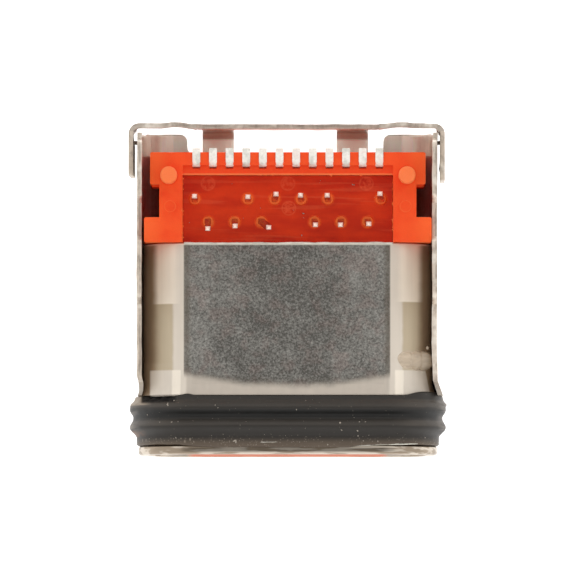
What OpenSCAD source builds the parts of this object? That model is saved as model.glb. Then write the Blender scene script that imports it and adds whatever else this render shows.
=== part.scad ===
// Waterproof 24-contact receptacle: drawn mouth tube with a sealing ring, folded cover with
// solder legs, and an orange moulded housing with a row of soldered tails and two rows of pins.
// Millimetres. The board side is +Z, the mouth faces -Y, and the part lies on its cover.

/* [Mouth tube] */
// Inside width of the mouth
mouth_w = 8.34; // [8.2:0.02:8.5]
// Inside height of the mouth
mouth_h = 2.56; // [2.5:0.02:2.7]
// Wall of the drawn tube
tube_wall = 0.2; // [0.16:0.01:0.26]
// Length of the tube, mouth face to rear edge
tube_len = 6.35; // [6.25:0.05:6.8]
// How far the front lip stands out from the tube
lip_out = 0.13; // [0.08:0.01:0.2]
// Length of the front lip
lip_len = 0.28; // [0.22:0.01:0.36]
// How far the bead behind the seal stands out
bead_out = 0.12; // [0.08:0.01:0.16]
// Length of the bead's rear slope
bead_len = 0.33; // [0.2:0.01:0.4]

/* [Sealing ring] */
// Length of the ring along the tube
ring_len = 1.48; // [1.3:0.01:1.7]
// Thickness of the ring at its ends
ring_web = 0.19; // [0.16:0.01:0.24]
// Thickness of the ring between its lips
ring_saddle = 0.24; // [0.2:0.01:0.28]
// How far the two lips stand out from the tube
ring_lip_out = 0.4; // [0.34:0.01:0.48]
// Distance between the two lips
ring_lip_pitch = 0.555; // [0.5:0.005:0.65]
// Distance from the ring's front face to its first lip
ring_first_lip = 0.56; // [0.45:0.01:0.65]
// Tip radius of a lip
ring_lip_r = 0.12; // [0.08:0.01:0.16]

/* [Cover] */
// Thickness of the cover sheet
sheet = 0.14; // [0.12:0.01:0.2]
// Height of the side walls' upper edge above the tube's axis
wall_top = 1.35; // [1.1:0.05:1.5]
// Height of the solder legs above the board face
leg_out = 1.15; // [0.8:0.05:1.5]
// Width of the front legs
front_leg_w = 2.05; // [1.6:0.05:2.2]
// Width of the rear legs
rear_leg_w = 1.96; // [1.6:0.02:2.1]
// Distance from the front legs to the rear legs
leg_gap = 1; // [0.8:0.05:1.4]
// Distance between the rear legs and the walls' rear edge
leg_setback = 0.2; // [0.15:0.05:0.4]
// Width of each strap that joins the rear wall to the plate
strap_w = 0.945; // [0.7:0.005:1.2]
// Distance between the middles of the two straps
strap_pitch = 4.05; // [3.6:0.01:4.3]
// Distance between the ears, which are the plate's two rear corners
ear_gap = 5.92; // [5.6:0.02:6.1]
// How far the ears and the straps are off centre
plate_shift = -0.077; // [-0.1:0.001:0.1]
// Inside radius of the strap's bend
strap_bend_r = 0.25; // [0.15:0.05:0.3]
// Distance from the cover's walls to the rear wall
rear_gap = 0.11; // [0.08:0.01:0.2]
// How far the ends of the rear wall are pressed out
joggle = 0.02; // [0.01:0.01:0.08]
// Gap between the side wall and the wing on the -X side
wing_gap_left = 0.13; // [0.03:0.01:0.16]
// Gap between the side wall and the wing on the +X side
wing_gap_right = 0.06; // [0.02:0.01:0.16]
// Length of the wing on the -X side
wing_len_left = 1.58; // [1.2:0.02:1.8]
// Length of the wing on the +X side
wing_len_right = 1.72; // [1.2:0.02:1.8]

/* [Housing] */
// Height of the board face above the tube's axis
board_h = 1.62; // [1.55:0.01:1.75]
// Length of each foot beside the tube's rear edge
foot_len = 0.75; // [0.6:0.05:0.9]
// Length of the notch behind each foot
notch_len = 0.99; // [0.8:0.01:1.1]
// Length of the block that carries the post
block_len = 0.965; // [0.9:0.005:1.1]
// Distance from the outer contacts to the sides of the recess
carrier_edge = 0.275; // [0.25:0.005:0.3]
// Width of each column beside the notches
column_wall = 0.705; // [0.6:0.005:0.75]
// Distance from each rear block to the cover's wall
block_clear = 0.24; // [0.2:0.01:0.3]
// Length of the ledge behind the recess
ledge_len = 0.675; // [0.6:0.005:0.75]
// Length of the rear strip that the tails lie on
strip_len = 0.385; // [0.34:0.005:0.45]
// How far the front of the ledge lies below the board face
ledge_step = 0.1; // [0.05:0.01:0.2]
// Height of the recess floor above the tube's axis
floor_h = 0.95; // [0.85:0.01:1.1]
// Diameter of the two locating posts
post_d = 0.51; // [0.45:0.01:0.56]
// Distance from the middle of each post to the outer side of its block
post_edge = 0.56; // [0.54:0.01:0.6]
// Height of the posts above the board face
post_out = 0.6; // [0.4:0.05:0.9]
// Distance from the posts to the housing's rear edge
post_setback = 0.705; // [0.65:0.005:0.75]

/* [Tongue] */
// Distance from the outer contacts to the sides of the tongue's core
slab_edge = 0.135; // [0.12:0.005:0.15]
// Width of the moulded rail along each side of the tongue
rail_w = 0.335; // [0.3:0.005:0.36]
// Thickness of the tongue
tongue_t = 0.7; // [0.66:0.01:0.74]
// Distance from the mouth face to the tongue's tip
tongue_in = 1.15; // [0.9:0.05:1.4]
// Thickness of the thick root of the tongue
root_t = 1.1; // [1:0.05:1.3]
// Length of the thick root of the tongue
root_len = 1.25; // [1.1:0.05:1.5]
// Length of the base plug that closes the tube
plug_len = 0.17; // [0.15:0.01:0.3]

/* [Contacts] */
// Distance between neighbouring contacts
pitch = 0.5; // [0.48:0.01:0.5]
// Thickness of the contact strip
contact_t = 0.15; // [0.12:0.01:0.16]
// Width of a contact on the tongue
contact_w = 0.25; // [0.2:0.01:0.28]
// Width of a tail's foot
tail_w = 0.23; // [0.2:0.01:0.28]
// Width of a tail where it comes out of the housing
tail_neck_w = 0.18; // [0.15:0.01:0.2]
// How far the tails reach past the housing's rear edge
tail_out = 0.12; // [0:0.02:0.3]
// How far the tails stand proud of the board face
tail_proud = 0.03; // [0:0.01:0.05]
// Width of a through-hole pin
pin_w = 0.17; // [0.14:0.01:0.2]
// Height of the pins above the board face
pin_out = 0.95; // [0.6:0.05:1.3]
// Distance from the rear row of pins to the housing's rear edge
rear_pins_in = 1.395; // [1.35:0.005:1.5]
// Distance between the two rows of pins
pin_rows = 0.66; // [0.5:0.01:0.75]
// Distance between neighbouring places on the pin grid
pin_grid = 0.4; // [0.38:0.01:0.42]
// Thickness of the mid plate
mid_t = 0.15; // [0.1:0.01:0.18]
// Thickness of the sealing resin on the recess floor
resin_t = 0.06; // [0.03:0.01:0.12]

/* [Glue] */
// Radius of the set drop
glue_r = 0.42; // [0.3:0.01:0.5]
// Distance from the mouth face to the drop
glue_y = 2.82; // [2.6:0.02:3.2]
// Height of the drop above the tube's axis
glue_z = 0.95; // [0.8:0.01:1.1]

/* [Hidden] */
COUNT = 12;
A_NODES = [for (i = [1:COUNT]) str("contact_a", i)];
B_NODES = [for (i = [1:COUNT]) str("contact_b", i)];
$fn = 48;

// Clearances between pieces
weld_gap = 0.01;    // tube to cover and tube to ring
mould_gap = 0.01;   // between moulded pieces and what they hold
cover_clear = 0.06; // housing to cover
past = 1;           // how far a cutter runs past what it cuts

// The tube is a stadium: two half-round ends of radius tube_r round middles at end_x
end_x = (mouth_w - mouth_h) / 2;
bore_r = mouth_h / 2;
tube_r = bore_r + tube_wall;
lip_edge_r = 0.09;
bead_y = lip_len + mould_gap + ring_len + mould_gap;

// Sealing ring
ring_y = lip_len + mould_gap;
ring_r0 = tube_r + weld_gap;
ring_lip_top = tube_r + ring_lip_out;
first_lip_y = ring_y + ring_first_lip;
ring_edge_r = 0.06;

// Cover
cover_r = tube_r + weld_gap;
wall_x = end_x + cover_r;
cover_y = bead_y + 0.01;
flare = bead_out + 0.02;
flare_len = bead_len + 0.1;
plate_z = -cover_r - sheet;
leg_top = board_h + leg_out;
body_y = tube_len + 0.02;
body_end = body_y + foot_len + notch_len + block_len;
plate_end = body_end + 0.02;
wall_end = body_end + 0.645;
rear_leg_y = wall_end - leg_setback - rear_leg_w;
front_leg_y = rear_leg_y - leg_gap - front_leg_w;
ear_r = 0.22;
notch_r = 0.3;
strap_root_r = 0.15;
rear_in = wall_end + rear_gap;
rear_out = rear_in + sheet;
corner_r = 0.19;
dimple_d = 0.12;
dimple_z = 0.6;
rear_mid_top = 0.9;
rear_mid_low = 0.1;
rear_end_top = 1.3;
rear_end_low = -0.9;
joggle_x = 2.9;
joggle_len = 0.15;

// Housing
body_r = cover_r - cover_clear;
foot_w = 2 * (end_x + body_r);
lanes_w = (COUNT - 1) * pitch + contact_w;
carrier_w = lanes_w + 2 * carrier_edge;
recess_w = carrier_w + 2 * mould_gap;
column_w = recess_w + 2 * column_wall;
block_w = 2 * (wall_x - block_clear);
post_pitch = block_w - 2 * post_edge;
post_chamfer = 0.03;
recess_end = body_end - ledge_len;
strip_y = body_end - strip_len;
cavity_low = -1.01;
ledge_low = 0.5;
block_step = 0.06;
block_step_z = 1.2;
block_edge_r = 0.06;
mark_d = 0.43;
mark_deep = 0.03;

// Tongue
tongue_y = tongue_in;
slab_y = tongue_y + 0.35;
slab_w = lanes_w + 2 * slab_edge;
tongue_w = slab_w + 2 * rail_w;
root_y = tube_len - 0.15 - root_len;
plug_y = root_y + root_len;
pad_t = 0.1;

// Contacts
bend_r = 0.1;
groove_side = 0.02;
groove_front = 0.05;
lane = tongue_t / 2 - contact_t;
signal_y = slab_y + 0.12;
power_y = slab_y + 0.02;
tail_y = strip_y - 0.06;
tail_top = board_h + tail_proud;
rear_pin_y = body_end - rear_pins_in;
front_pin_y = rear_pin_y - pin_rows;
pin_top = board_h + pin_out;
ring_rise = 0.05;
kink_h = floor_h + resin_t + ring_rise + 0.03;
// Place of each pin on the pin grid, and whether it stands in the rear row
PIN_PLACE = [-7, -6, -4, -3, -2, -1, 1, 2, 3, 4, 6, 7];
PIN_REAR = [true, false, false, true, false, true, true, false, true, false, false, true];
// Degrees by which each pin leans sideways and rearward
PIN_LEAN = [[0, 3.1], [0, -11.7], [0.8, -8.5], [0, 2.3], [9.7, -10.1], [1.9, 5.8],
            [-0.8, 4.3], [1.2, -7], [-0.8, 4.3], [-0.8, -7], [1.2, -5.8], [-1.5, 6.2]];

// Height of the bounding box's bottom under the tube's axis, and half the total length
rest_z = ring_lip_top;
half_len = rear_out / 2;

// ---------------------------------------------------------------- helpers

// Moves a piece from the tube's own frame to the part's frame
module place() {
  translate([0, -half_len, rest_z]) children();
}

// Both sides, mirrored across the middle
module both_sides() {
  for (m = [0, 1]) mirror([m, 0, 0]) children();
}

// Turns a profile in (radius, depth) round one end of the stadium
module turn_end(start, sweep) {
  translate([end_x, 0, 0])
    rotate([-90, 0, 0])
      rotate_extrude(angle = sweep, start = start) children();
}

// Runs a profile in (radius, depth) along one flat of the stadium
module run_flat(side) {
  mirror([0, 0, side])
    rotate([0, -90, 0])
      linear_extrude(2 * end_x, center = true) children();
}

// Sweeps a profile in (radius, depth) all the way round the stadium
module sweep_stadium() {
  both_sides() turn_end(-90, 180) children();
  for (side = [0, 1]) run_flat(side) children();
}

// A solid stadium of radius r from depth y0 to depth y1
module stadium(r, y0, y1) {
  both_sides()
    translate([end_x, y0, 0]) rotate([-90, 0, 0]) cylinder(r = r, h = y1 - y0);
  translate([-end_x, y0, -r]) cube([2 * end_x, y1 - y0, 2 * r]);
}

// A rectangle with round corners, one corner at the origin
module round_rect(size, r) {
  translate([r, 0]) square([size[0] - 2 * r, size[1]]);
  translate([0, r]) square([size[0], size[1] - 2 * r]);
  for (x = [r, size[0] - r], y = [r, size[1] - r]) translate([x, y]) circle(r);
}

// A block centred on X from y0 to y1 and from z0 to z1
module slab(w, y0, y1, z0, z1) {
  translate([-w / 2, y0, z0]) cube([w, y1 - y0, z1 - z0]);
}

// Extrudes a side outline in (depth, height) across a width centred on X
module across(w) {
  rotate([90, 0, 90]) linear_extrude(w, center = true) children();
}

// A quarter of a flat ring, from the angle start, for bends in sheet and strip
module quarter(r, t, start) {
  intersection() {
    difference() {
      circle(r + t);
      circle(r);
    }
    rotate(start) square(r + t + past);
  }
}

// ---------------------------------------------------------------- tube and ring

module tube_profile() {
  translate([bore_r, lip_len / 2]) square([tube_wall, tube_len - lip_len / 2 - 0.05]);
  translate([bore_r, tube_len - 0.1]) round_rect([tube_wall, 0.1], 0.04);
  translate([bore_r, 0]) round_rect([tube_wall + lip_out, lip_len], lip_edge_r);
  polygon([[tube_r - 0.05, bead_y], [tube_r + bead_out, bead_y], [tube_r + bead_out, bead_y + 0.05],
           [tube_r, bead_y + bead_len], [tube_r - 0.05, bead_y + bead_len]]);
}

module mouth_tube() {
  color("#bdb3a6") place() sweep_stadium() tube_profile();
}

// One lip: a round tip with 45 degree flanks tangent to it
module ring_lip(y) {
  tip_r = ring_lip_top - ring_lip_r;
  touch = ring_lip_r * sin(45);
  foot = tip_r + touch - (tube_r + ring_web) + 0.03;
  translate([tip_r, y]) {
    circle(ring_lip_r);
    polygon([[touch - foot, -touch - foot], [touch, -touch], [touch, touch], [touch - foot, touch + foot]]);
  }
}

module ring_profile() {
  difference() {
    union() {
      translate([ring_r0 - past, ring_y]) round_rect([ring_web - weld_gap + past, ring_len], ring_edge_r);
      translate([ring_r0 - past, first_lip_y]) square([ring_saddle - weld_gap + past, ring_lip_pitch]);
      for (i = [0, 1]) ring_lip(first_lip_y + i * ring_lip_pitch);
    }
    translate([ring_r0 - past, ring_y - past]) square([past, ring_len + 2 * past]);
    translate([ring_r0 - past, ring_y + ring_len]) square([2 * past, past]);
  }
}

module sealing_ring() {
  color("#36312d") place() sweep_stadium() ring_profile();
}

// ---------------------------------------------------------------- cover

// Section of the folded channel in (radius, depth), flared at its front
module channel_profile() {
  polygon([[cover_r + flare, cover_y], [cover_r, cover_y + flare_len], [cover_r, wall_end],
           [cover_r + sheet, wall_end], [cover_r + sheet, cover_y + flare_len],
           [cover_r + flare + sheet, cover_y]]);
}

// The plate, its two round corners and the side walls up to the leg tips
module channel() {
  run_flat(1) channel_profile();
  both_sides() {
    turn_end(0, 90) channel_profile();
    translate([end_x, 0, 0]) linear_extrude(leg_top) channel_profile();
  }
}

// A solder leg in (depth, height), with a wide root, a taper at the board face and a round tip
module leg_outline(w) {
  translate([0, -past]) square([w, past + board_h - 0.1]);
  polygon([[0, board_h - 0.1], [w, board_h - 0.1], [w - 0.12, board_h + 0.15], [0.12, board_h + 0.15]]);
  translate([0.12, board_h - 0.1]) round_rect([w - 0.24, leg_out + 0.1], 0.3);
  translate([0.12, board_h - 0.1]) square([w - 0.24, leg_out / 2]);
}

// What the side walls keep, in (depth, height): low front, edges between the legs, and the legs
module wall_outline() {
  translate([cover_y - past, plate_z - past])
    square([flare_len + past, wall_top - 0.35 - plate_z + past]);
  translate([cover_y + flare_len - 0.05, plate_z - past])
    square([wall_end + past - cover_y - flare_len, wall_top - plate_z + past]);
  translate([front_leg_y, 0]) leg_outline(front_leg_w);
  translate([rear_leg_y, 0]) leg_outline(rear_leg_w);
}

// The opening at the rear of the plate, between the two ears
module plate_notch() {
  ear_x = ear_gap / 2;
  translate([plate_shift, 0, plate_z - past])
    linear_extrude(past + sheet + cover_r / 3)
      difference() {
        union() {
          translate([-ear_x, plate_end]) round_rect([2 * ear_x, past + rear_out - plate_end], notch_r);
          translate([-ear_x - ear_r, wall_end - ear_r]) square([2 * (ear_x + ear_r), past]);
        }
        both_sides() translate([ear_x + ear_r, wall_end - ear_r]) circle(ear_r);
      }
}

// The two straps, flat behind the plate, bent up and joined to the rear wall
module straps() {
  bend_y = rear_in - joggle - strap_bend_r;
  rise = plate_z + sheet + strap_bend_r;
  for (side = [-1, 1]) translate([plate_shift + side * strap_pitch / 2, 0, 0]) {
    across(strap_w) {
      translate([plate_end - ear_r, plate_z]) square([bend_y - plate_end + ear_r, sheet]);
      translate([bend_y, rise]) quarter(strap_bend_r, sheet, -90);
      translate([bend_y + strap_bend_r, rise]) square([sheet, rear_mid_low + ear_r - rise]);
    }
    strap_roots();
  }
}

// Concave corners where a strap leaves the plate
module strap_roots() {
  r = strap_root_r;
  both_sides()
    translate([strap_w / 2 - weld_gap, plate_end - weld_gap, plate_z])
      linear_extrude(sheet)
        difference() {
          square(r);
          translate([r, r]) circle(r);
        }
}

// Plan of one end of the rear wall, its corner and its wing
module wing_plan(gap, len) {
  wing_x = wall_x + sheet + gap;
  middle = [wing_x - corner_r, rear_in - corner_r];
  flat_x = joggle_x + joggle_len;
  polygon([[joggle_x - joggle_len, rear_in - joggle], [joggle_x, rear_in - joggle], [flat_x, rear_in],
           [flat_x, rear_out], [joggle_x, rear_out - joggle], [joggle_x - joggle_len, rear_out - joggle]]);
  translate([flat_x, rear_in]) square([middle[0] - flat_x, sheet]);
  translate(middle) quarter(corner_r, sheet, 0);
  translate([wing_x, rear_out - len]) square([sheet, len - sheet - corner_r]);
}

// What a wing and its end of the rear wall keep, seen from the side
module wing_side(len) {
  h = rear_end_top - rear_end_low;
  translate([rear_out - len, rear_end_low]) round_rect([len + past, h], 0.2);
}

module wing(gap, len) {
  intersection() {
    translate([0, 0, rear_end_low]) linear_extrude(rear_end_top - rear_end_low) wing_plan(gap, len);
    across(20) wing_side(len);
  }
  // The weld dimple that touches the side wall
  translate([wall_x + sheet, wall_end - leg_setback - dimple_d, dimple_z])
    rotate([0, 90, 0]) cylinder(d = dimple_d, h = gap + sheet / 2);
}

// The rear wall's middle, lower than its ends
module rear_wall() {
  slab(2 * joggle_x, rear_in - joggle, rear_out - joggle, rear_mid_low, rear_mid_top);
}

module cover() {
  color("#c9beb0") place() {
    difference() {
      intersection() {
        channel();
        across(20) wall_outline();
      }
      plate_notch();
    }
    straps();
    rear_wall();
    wing(wing_gap_right, wing_len_right);
    mirror([1, 0, 0]) wing(wing_gap_left, wing_len_left);
  }
}

// ---------------------------------------------------------------- moulded pieces

// Plan of the housing's body: rear block, columns beside the notches, and feet
module body_plan() {
  notch_y = body_y + foot_len;
  translate([-foot_w / 2, body_y]) round_rect([foot_w, foot_len], block_edge_r);
  translate([-column_w / 2, body_y + block_edge_r]) square([column_w, foot_len + notch_len]);
  translate([-block_w / 2, notch_y + notch_len]) round_rect([block_w, block_len], block_edge_r);
}

// Section of the body in (width, height): it fills the cover's channel up to the board face
module body() {
  intersection() {
    translate([0, 0, -past - tube_r]) linear_extrude(board_h + past + tube_r) body_plan();
    union() {
      stadium(body_r, body_y, body_end);
      slab(foot_w, body_y, body_end, 0, board_h);
    }
  }
}

module posts() {
  top = board_h + post_out;
  both_sides() translate([post_pitch / 2, body_end - post_setback, 0]) {
    cylinder(d = post_d, h = top - post_chamfer);
    translate([0, 0, top - post_chamfer])
      cylinder(d1 = post_d, d2 = post_d - 2 * post_chamfer, h = post_chamfer);
  }
}

// The parting step low on the front of each rear block
module block_steps() {
  both_sides()
    translate([column_w / 2 - block_step, body_end - block_len - block_step, 0])
      cube([(block_w - column_w) / 2, 2 * block_step, block_step_z]);
}

// The tongue's moulded edge: its tip and side rails, round in plan and chamfered at the tip
module tongue_edge() {
  t = tongue_t / 2;
  difference() {
    intersection() {
      across(tongue_w) polygon([[tongue_y, -t + 0.12], [tongue_y + 0.2, -t], [plug_y, -t], [plug_y, t],
                                [tongue_y + 0.2, t], [tongue_y, t - 0.12]]);
      translate([0, 0, -t]) linear_extrude(tongue_t)
        translate([-tongue_w / 2, tongue_y]) round_rect([tongue_w, plug_y + 1 - tongue_y], 0.35);
    }
    slab(slab_w + 2 * mould_gap, slab_y - mould_gap, plug_y + past, -past, past);
  }
}

// The root and the plug that closes the tube, open in the middle for the carriers
module root_and_plug() {
  difference() {
    union() {
      slab(tongue_w, root_y, plug_y + 0.05, -root_t / 2, root_t / 2);
      stadium(bore_r - mould_gap, plug_y, plug_y + plug_len);
      stadium(bore_r - 0.05, plug_y, body_y + 0.1);
    }
    slab(slab_w + 2 * mould_gap, root_y - past, body_y + past,
         -tongue_t / 2 - mould_gap, tongue_t / 2 + mould_gap);
  }
}

module housing() {
  color("#e85a30") place() difference() {
    union() {
      tongue_edge();
      root_and_plug();
      body();
      block_steps();
      posts();
    }
    // The recess, open toward the board, the lowered ledge behind it, and the well under the ledge
    slab(recess_w, body_y - mould_gap, recess_end, -tongue_t / 2, board_h + past);
    slab(recess_w, recess_end - mould_gap, strip_y, board_h - ledge_step, board_h + past);
    slab(recess_w, body_y + 0.1, strip_y + mould_gap, cavity_low, ledge_low);
    // The slot that the mid plate's edges lie in
    translate([0, 0, -mid_t / 2 - mould_gap]) linear_extrude(mid_t + 2 * mould_gap)
      offset_plate(mould_gap);
    tail_slots();
    column_marks();
  }
}

// Faint round ejector marks on the columns
module column_marks() {
  both_sides()
    translate([(recess_w + column_w) / 4, body_y + foot_len + 0.3, board_h - mark_deep])
      cylinder(d = mark_d, h = past);
}

// Channels that hold the tail contacts, open toward the board at their upper bends
module tail_slots() {
  for (i = [1:COUNT]) {
    contact_a_form(i, mould_gap);
    translate([tail_x(i), 0, 0])
      slab(tail_neck_w + 2 * groove_side, tail_y - groove_front, tail_y + contact_t + bend_r,
           tail_top - contact_t - bend_r, board_h + past);
  }
}

function tail_x(i) = pitch * ((COUNT + 1) / 2 - i);
function lane_x(i) = -tail_x(i);
function is_power(i) = i == 1 || i == 4 || i == 9 || i == 12;
function pin_x(i) = PIN_PLACE[i - 1] * pin_grid;
function pin_y(i) = PIN_REAR[i - 1] ? rear_pin_y : front_pin_y;
function front_of(i) = is_power(i) ? power_y : signal_y;

// The carrier moulded round the tail contacts: tongue slab, base and rear wall
module tail_carrier() {
  low = -tongue_t / 2;
  color("#d9491f") place() difference() {
    union() {
      slab(slab_w, slab_y, body_y + 0.2, low, -mid_t / 2 - mould_gap);
      slab(carrier_w, body_y + 0.11, strip_y, cavity_low + mould_gap, -mid_t / 2 - mould_gap);
      slab(carrier_w, recess_end + mould_gap, strip_y, low, ledge_low - mould_gap);
    }
    tail_slots();
  }
}

// The carrier moulded round the pin contacts; its top is the recess floor
module pin_carrier() {
  color("#c8371c") place() difference() {
    union() {
      slab(slab_w, slab_y, body_y + 0.2, mid_t / 2 + mould_gap, tongue_t / 2);
      slab(carrier_w, body_y + mould_gap, recess_end - mould_gap, mid_t / 2 + mould_gap, floor_h);
    }
    for (i = [1:COUNT]) contact_b_form(i, mould_gap);
    floor_marks();
  }
}

// Faint round ejector marks on the recess floor
module floor_marks() {
  for (spot = [[-2.4, 0.24], [0, 0.24], [2.36, 0.24], [-0.1, 1.16]])
    translate([spot[0], recess_end - spot[1], floor_h - mark_deep]) cylinder(d = mark_d, h = past);
}

// Clear resin over the recess floor, raised in a small ring round every pin
module sealing_resin() {
  color("#c8402a80") place() difference() {
    union() {
      slab(recess_w - 2 * mould_gap, body_y + mould_gap, recess_end - mould_gap,
           floor_h + 0.002, floor_h + resin_t);
      for (i = [1:COUNT]) translate([pin_x(i), pin_y(i), floor_h + 0.002])
        cylinder(d1 = 0.44, d2 = 0.3, h = resin_t + ring_rise);
    }
    for (i = [1:COUNT]) contact_b_form(i, 0.002);
  }
}

// ---------------------------------------------------------------- metal inside

// Plan of the mid plate: latch notches at the tongue's edges, windows, and narrow rear
module mid_plan() {
  notch_y = slab_y + 1.9;
  difference() {
    union() {
      translate([-tongue_w / 2, slab_y + 0.25]) round_rect([tongue_w, root_y - slab_y - 0.25], 0.1);
      translate([-slab_w / 2 + 0.02, root_y - 0.5]) square([slab_w - 0.04, recess_end - root_y + 0.45]);
      translate([-slab_w / 2 + 0.02, slab_y]) round_rect([slab_w - 0.04, 1], 0.2);
    }
    both_sides() translate([tongue_w / 2 - 0.22, notch_y]) round_rect([1, 0.85], 0.1);
    for (x = [-1.6, 0, 1.6], y = [root_y + 0.2, body_y + 0.4])
      translate([x - 0.35, y]) round_rect([0.7, 0.7], 0.12);
  }
}

// The mid plate's plan with a clearance, for the slot in the housing's rails
module offset_plate(gap) {
  translate([-tongue_w / 2 - past, slab_y + 0.25 - gap])
    square([tongue_w + 2 * past, root_y - slab_y - 0.25 + 2 * gap]);
}

module mid_plate() {
  color("#b8b4ae") place() translate([0, 0, -mid_t / 2]) linear_extrude(mid_t) mid_plan();
}

// A ground pad: a plate on the tongue's root with a lip folded down at its front
module ground_pad() {
  z = root_t / 2 + mould_gap;
  across(tongue_w - 0.5) {
    translate([root_y - mould_gap, z]) square([root_len - 0.02, pad_t]);
    intersection() {
      translate([root_y - mould_gap, z]) circle(pad_t);
      translate([root_y - mould_gap - pad_t, z]) square(pad_t);
    }
    translate([root_y - mould_gap - pad_t, tongue_t / 2 + 0.04]) square([pad_t, z - tongue_t / 2 - 0.04]);
  }
}

module board_side_pad() {
  color("#c4c0b8") place() pad_with_windows();
}

module cover_side_pad() {
  color("#c4c0b8") place() mirror([0, 0, 1]) pad_with_windows();
}

module pad_with_windows() {
  difference() {
    ground_pad();
    for (x = [-2, 0, 2])
      translate([x - 0.4, root_y + 0.45, 0]) linear_extrude(2) round_rect([0.8, 0.4], 0.15);
  }
}

// ---------------------------------------------------------------- contacts

// Side outline of a tail contact: blade, bend up, bend back, foot
module tail_side(i, gap) {
  low = -tongue_t / 2;
  t = contact_t + 2 * gap;
  blade_end = tail_y - bend_r;
  rise = low + contact_t + bend_r;
  foot_y = tail_y + contact_t + bend_r;
  foot_z = tail_top - contact_t;
  translate([front_of(i) - gap, low - gap]) square([blade_end - front_of(i) + gap, t]);
  translate([blade_end, rise]) quarter(bend_r - gap, t, -90);
  translate([tail_y - gap, rise]) square([t, foot_z - bend_r - rise]);
  translate([foot_y, foot_z - bend_r]) quarter(bend_r - gap, t, 90);
  translate([foot_y, foot_z - gap]) square([body_end + tail_out - foot_y, t]);
}

// Plan of a tail contact: its blade, neck and foot widths
module tail_plan(i, gap) {
  neck = tail_y + contact_t;
  blade = contact_w / 2 + gap;
  narrow = tail_neck_w / 2 + gap;
  wide = tail_w / 2 + gap;
  right = [[blade, front_of(i) - past], [blade, tail_y - 0.5], [narrow, tail_y - 0.3],
           [narrow, neck], [wide, neck + 0.12], [wide, body_end + past]];
  left = [for (k = [len(right) - 1:-1:0]) [-right[k][0], right[k][1]]];
  polygon(concat(right, left));
}

// A tail contact, or with a gap the room that it needs
module contact_a_form(i, gap = 0) {
  translate([tail_x(i), 0, 0]) intersection() {
    across(1) tail_side(i, gap);
    translate([0, 0, -past]) linear_extrude(tail_top + 2 * past) tail_plan(i, gap);
  }
}

// Plan of a pin contact, from its lane on the tongue to its place on the pin grid
module pin_plan(i, gap) {
  lane = lane_x(i);
  place = pin_x(i);
  jog = body_y - 0.1;
  a = contact_w / 2 + gap;
  b = pin_w / 2 + gap;
  polygon([[lane - a, front_of(i) - gap], [lane + a, front_of(i) - gap], [lane + a, jog],
           [place + b, jog + 0.4], [place + b, pin_y(i) + past], [place - b, pin_y(i) + past],
           [place - b, jog + 0.4], [lane - a, jog]]);
}

// Side outline of a pin contact up to where the pin starts to lean
module pin_side(i, gap) {
  rise_y = pin_y(i) - contact_t / 2;
  rise = lane + contact_t + bend_r;
  translate([front_of(i) - gap, lane - gap])
    square([rise_y - bend_r - front_of(i) + gap, contact_t + 2 * gap]);
  translate([rise_y - bend_r, rise]) quarter(bend_r - gap, contact_t + 2 * gap, -90);
  translate([rise_y - gap, rise]) square([contact_t + 2 * gap, kink_h - rise]);
}

// The free end of a pin, standing on the origin, with a pyramid tip
module pin_end(len) {
  tip = 0.12;
  half = pin_w / 2;
  side = contact_t / 2;
  intersection() {
    across(1) polygon([[-side, -0.01], [side, -0.01], [side, len - tip], [side / 2, len],
                       [-side / 2, len], [-side, len - tip]]);
    rotate([90, 0, 0]) linear_extrude(1, center = true)
      polygon([[-half, -0.01], [half, -0.01], [half, len - tip], [half / 2, len],
               [-half / 2, len], [-half, len - tip]]);
  }
}

// A pin contact, or with a gap the room that it needs below where the pin leans
module contact_b_form(i, gap = 0) {
  lean = PIN_LEAN[i - 1];
  intersection() {
    across(tongue_w + 2) pin_side(i, gap);
    translate([0, 0, -past]) linear_extrude(pin_top + 2 * past) pin_plan(i, gap);
  }
  if (gap == 0)
    translate([pin_x(i), pin_y(i), kink_h])
      rotate([-lean[1], lean[0], 0]) pin_end(pin_top - kink_h);
}

// ---------------------------------------------------------------- glue

// A set drop of clear glue in the groove between the tube and the +X side wall
module glue_blob() {
  gap = 0.012;
  color("#9a9286") place() difference() {
    intersection() {
      union() {
        translate([wall_x - glue_r, glue_y, glue_z]) sphere(glue_r);
        translate([wall_x - 1.6 * glue_r, glue_y, 1.16 * glue_z]) sphere(0.86 * glue_r);
        translate([wall_x - 0.8 * glue_r, glue_y + 0.65 * glue_r, 0.9 * glue_z]) sphere(0.62 * glue_r);
      }
      slab(2 * (wall_x - gap), glue_y - past, glue_y + past, -wall_x, wall_x);
    }
    stadium(tube_r + gap, -past, tube_len);
  }
}

// ---------------------------------------------------------------- nodes

mouth_tube();
sealing_ring();
cover();
housing();
tail_carrier();
pin_carrier();
mid_plate();
board_side_pad();
cover_side_pad();
sealing_resin();
glue_blob();
for (i = [1:COUNT]) {
  color("#d8d6d0") place() contact_a_form(i);
  color("#d8d6d0") place() contact_b_form(i);
}
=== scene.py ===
"""Dresses the waterproof socket: finishes for its materials, its fine pieces, and the studio.

Lengths are millimetres in the tube's own frame, as in the part's source: x across, y from the mouth face
toward the rear, z from the tube's axis toward the board side. Placing.row() turns them into the row frame.
"""

import logging
import math
import random
from collections.abc import Callable, Sequence
from dataclasses import dataclass
from enum import Enum

import bmesh
import bpy
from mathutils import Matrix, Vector, noise


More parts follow.
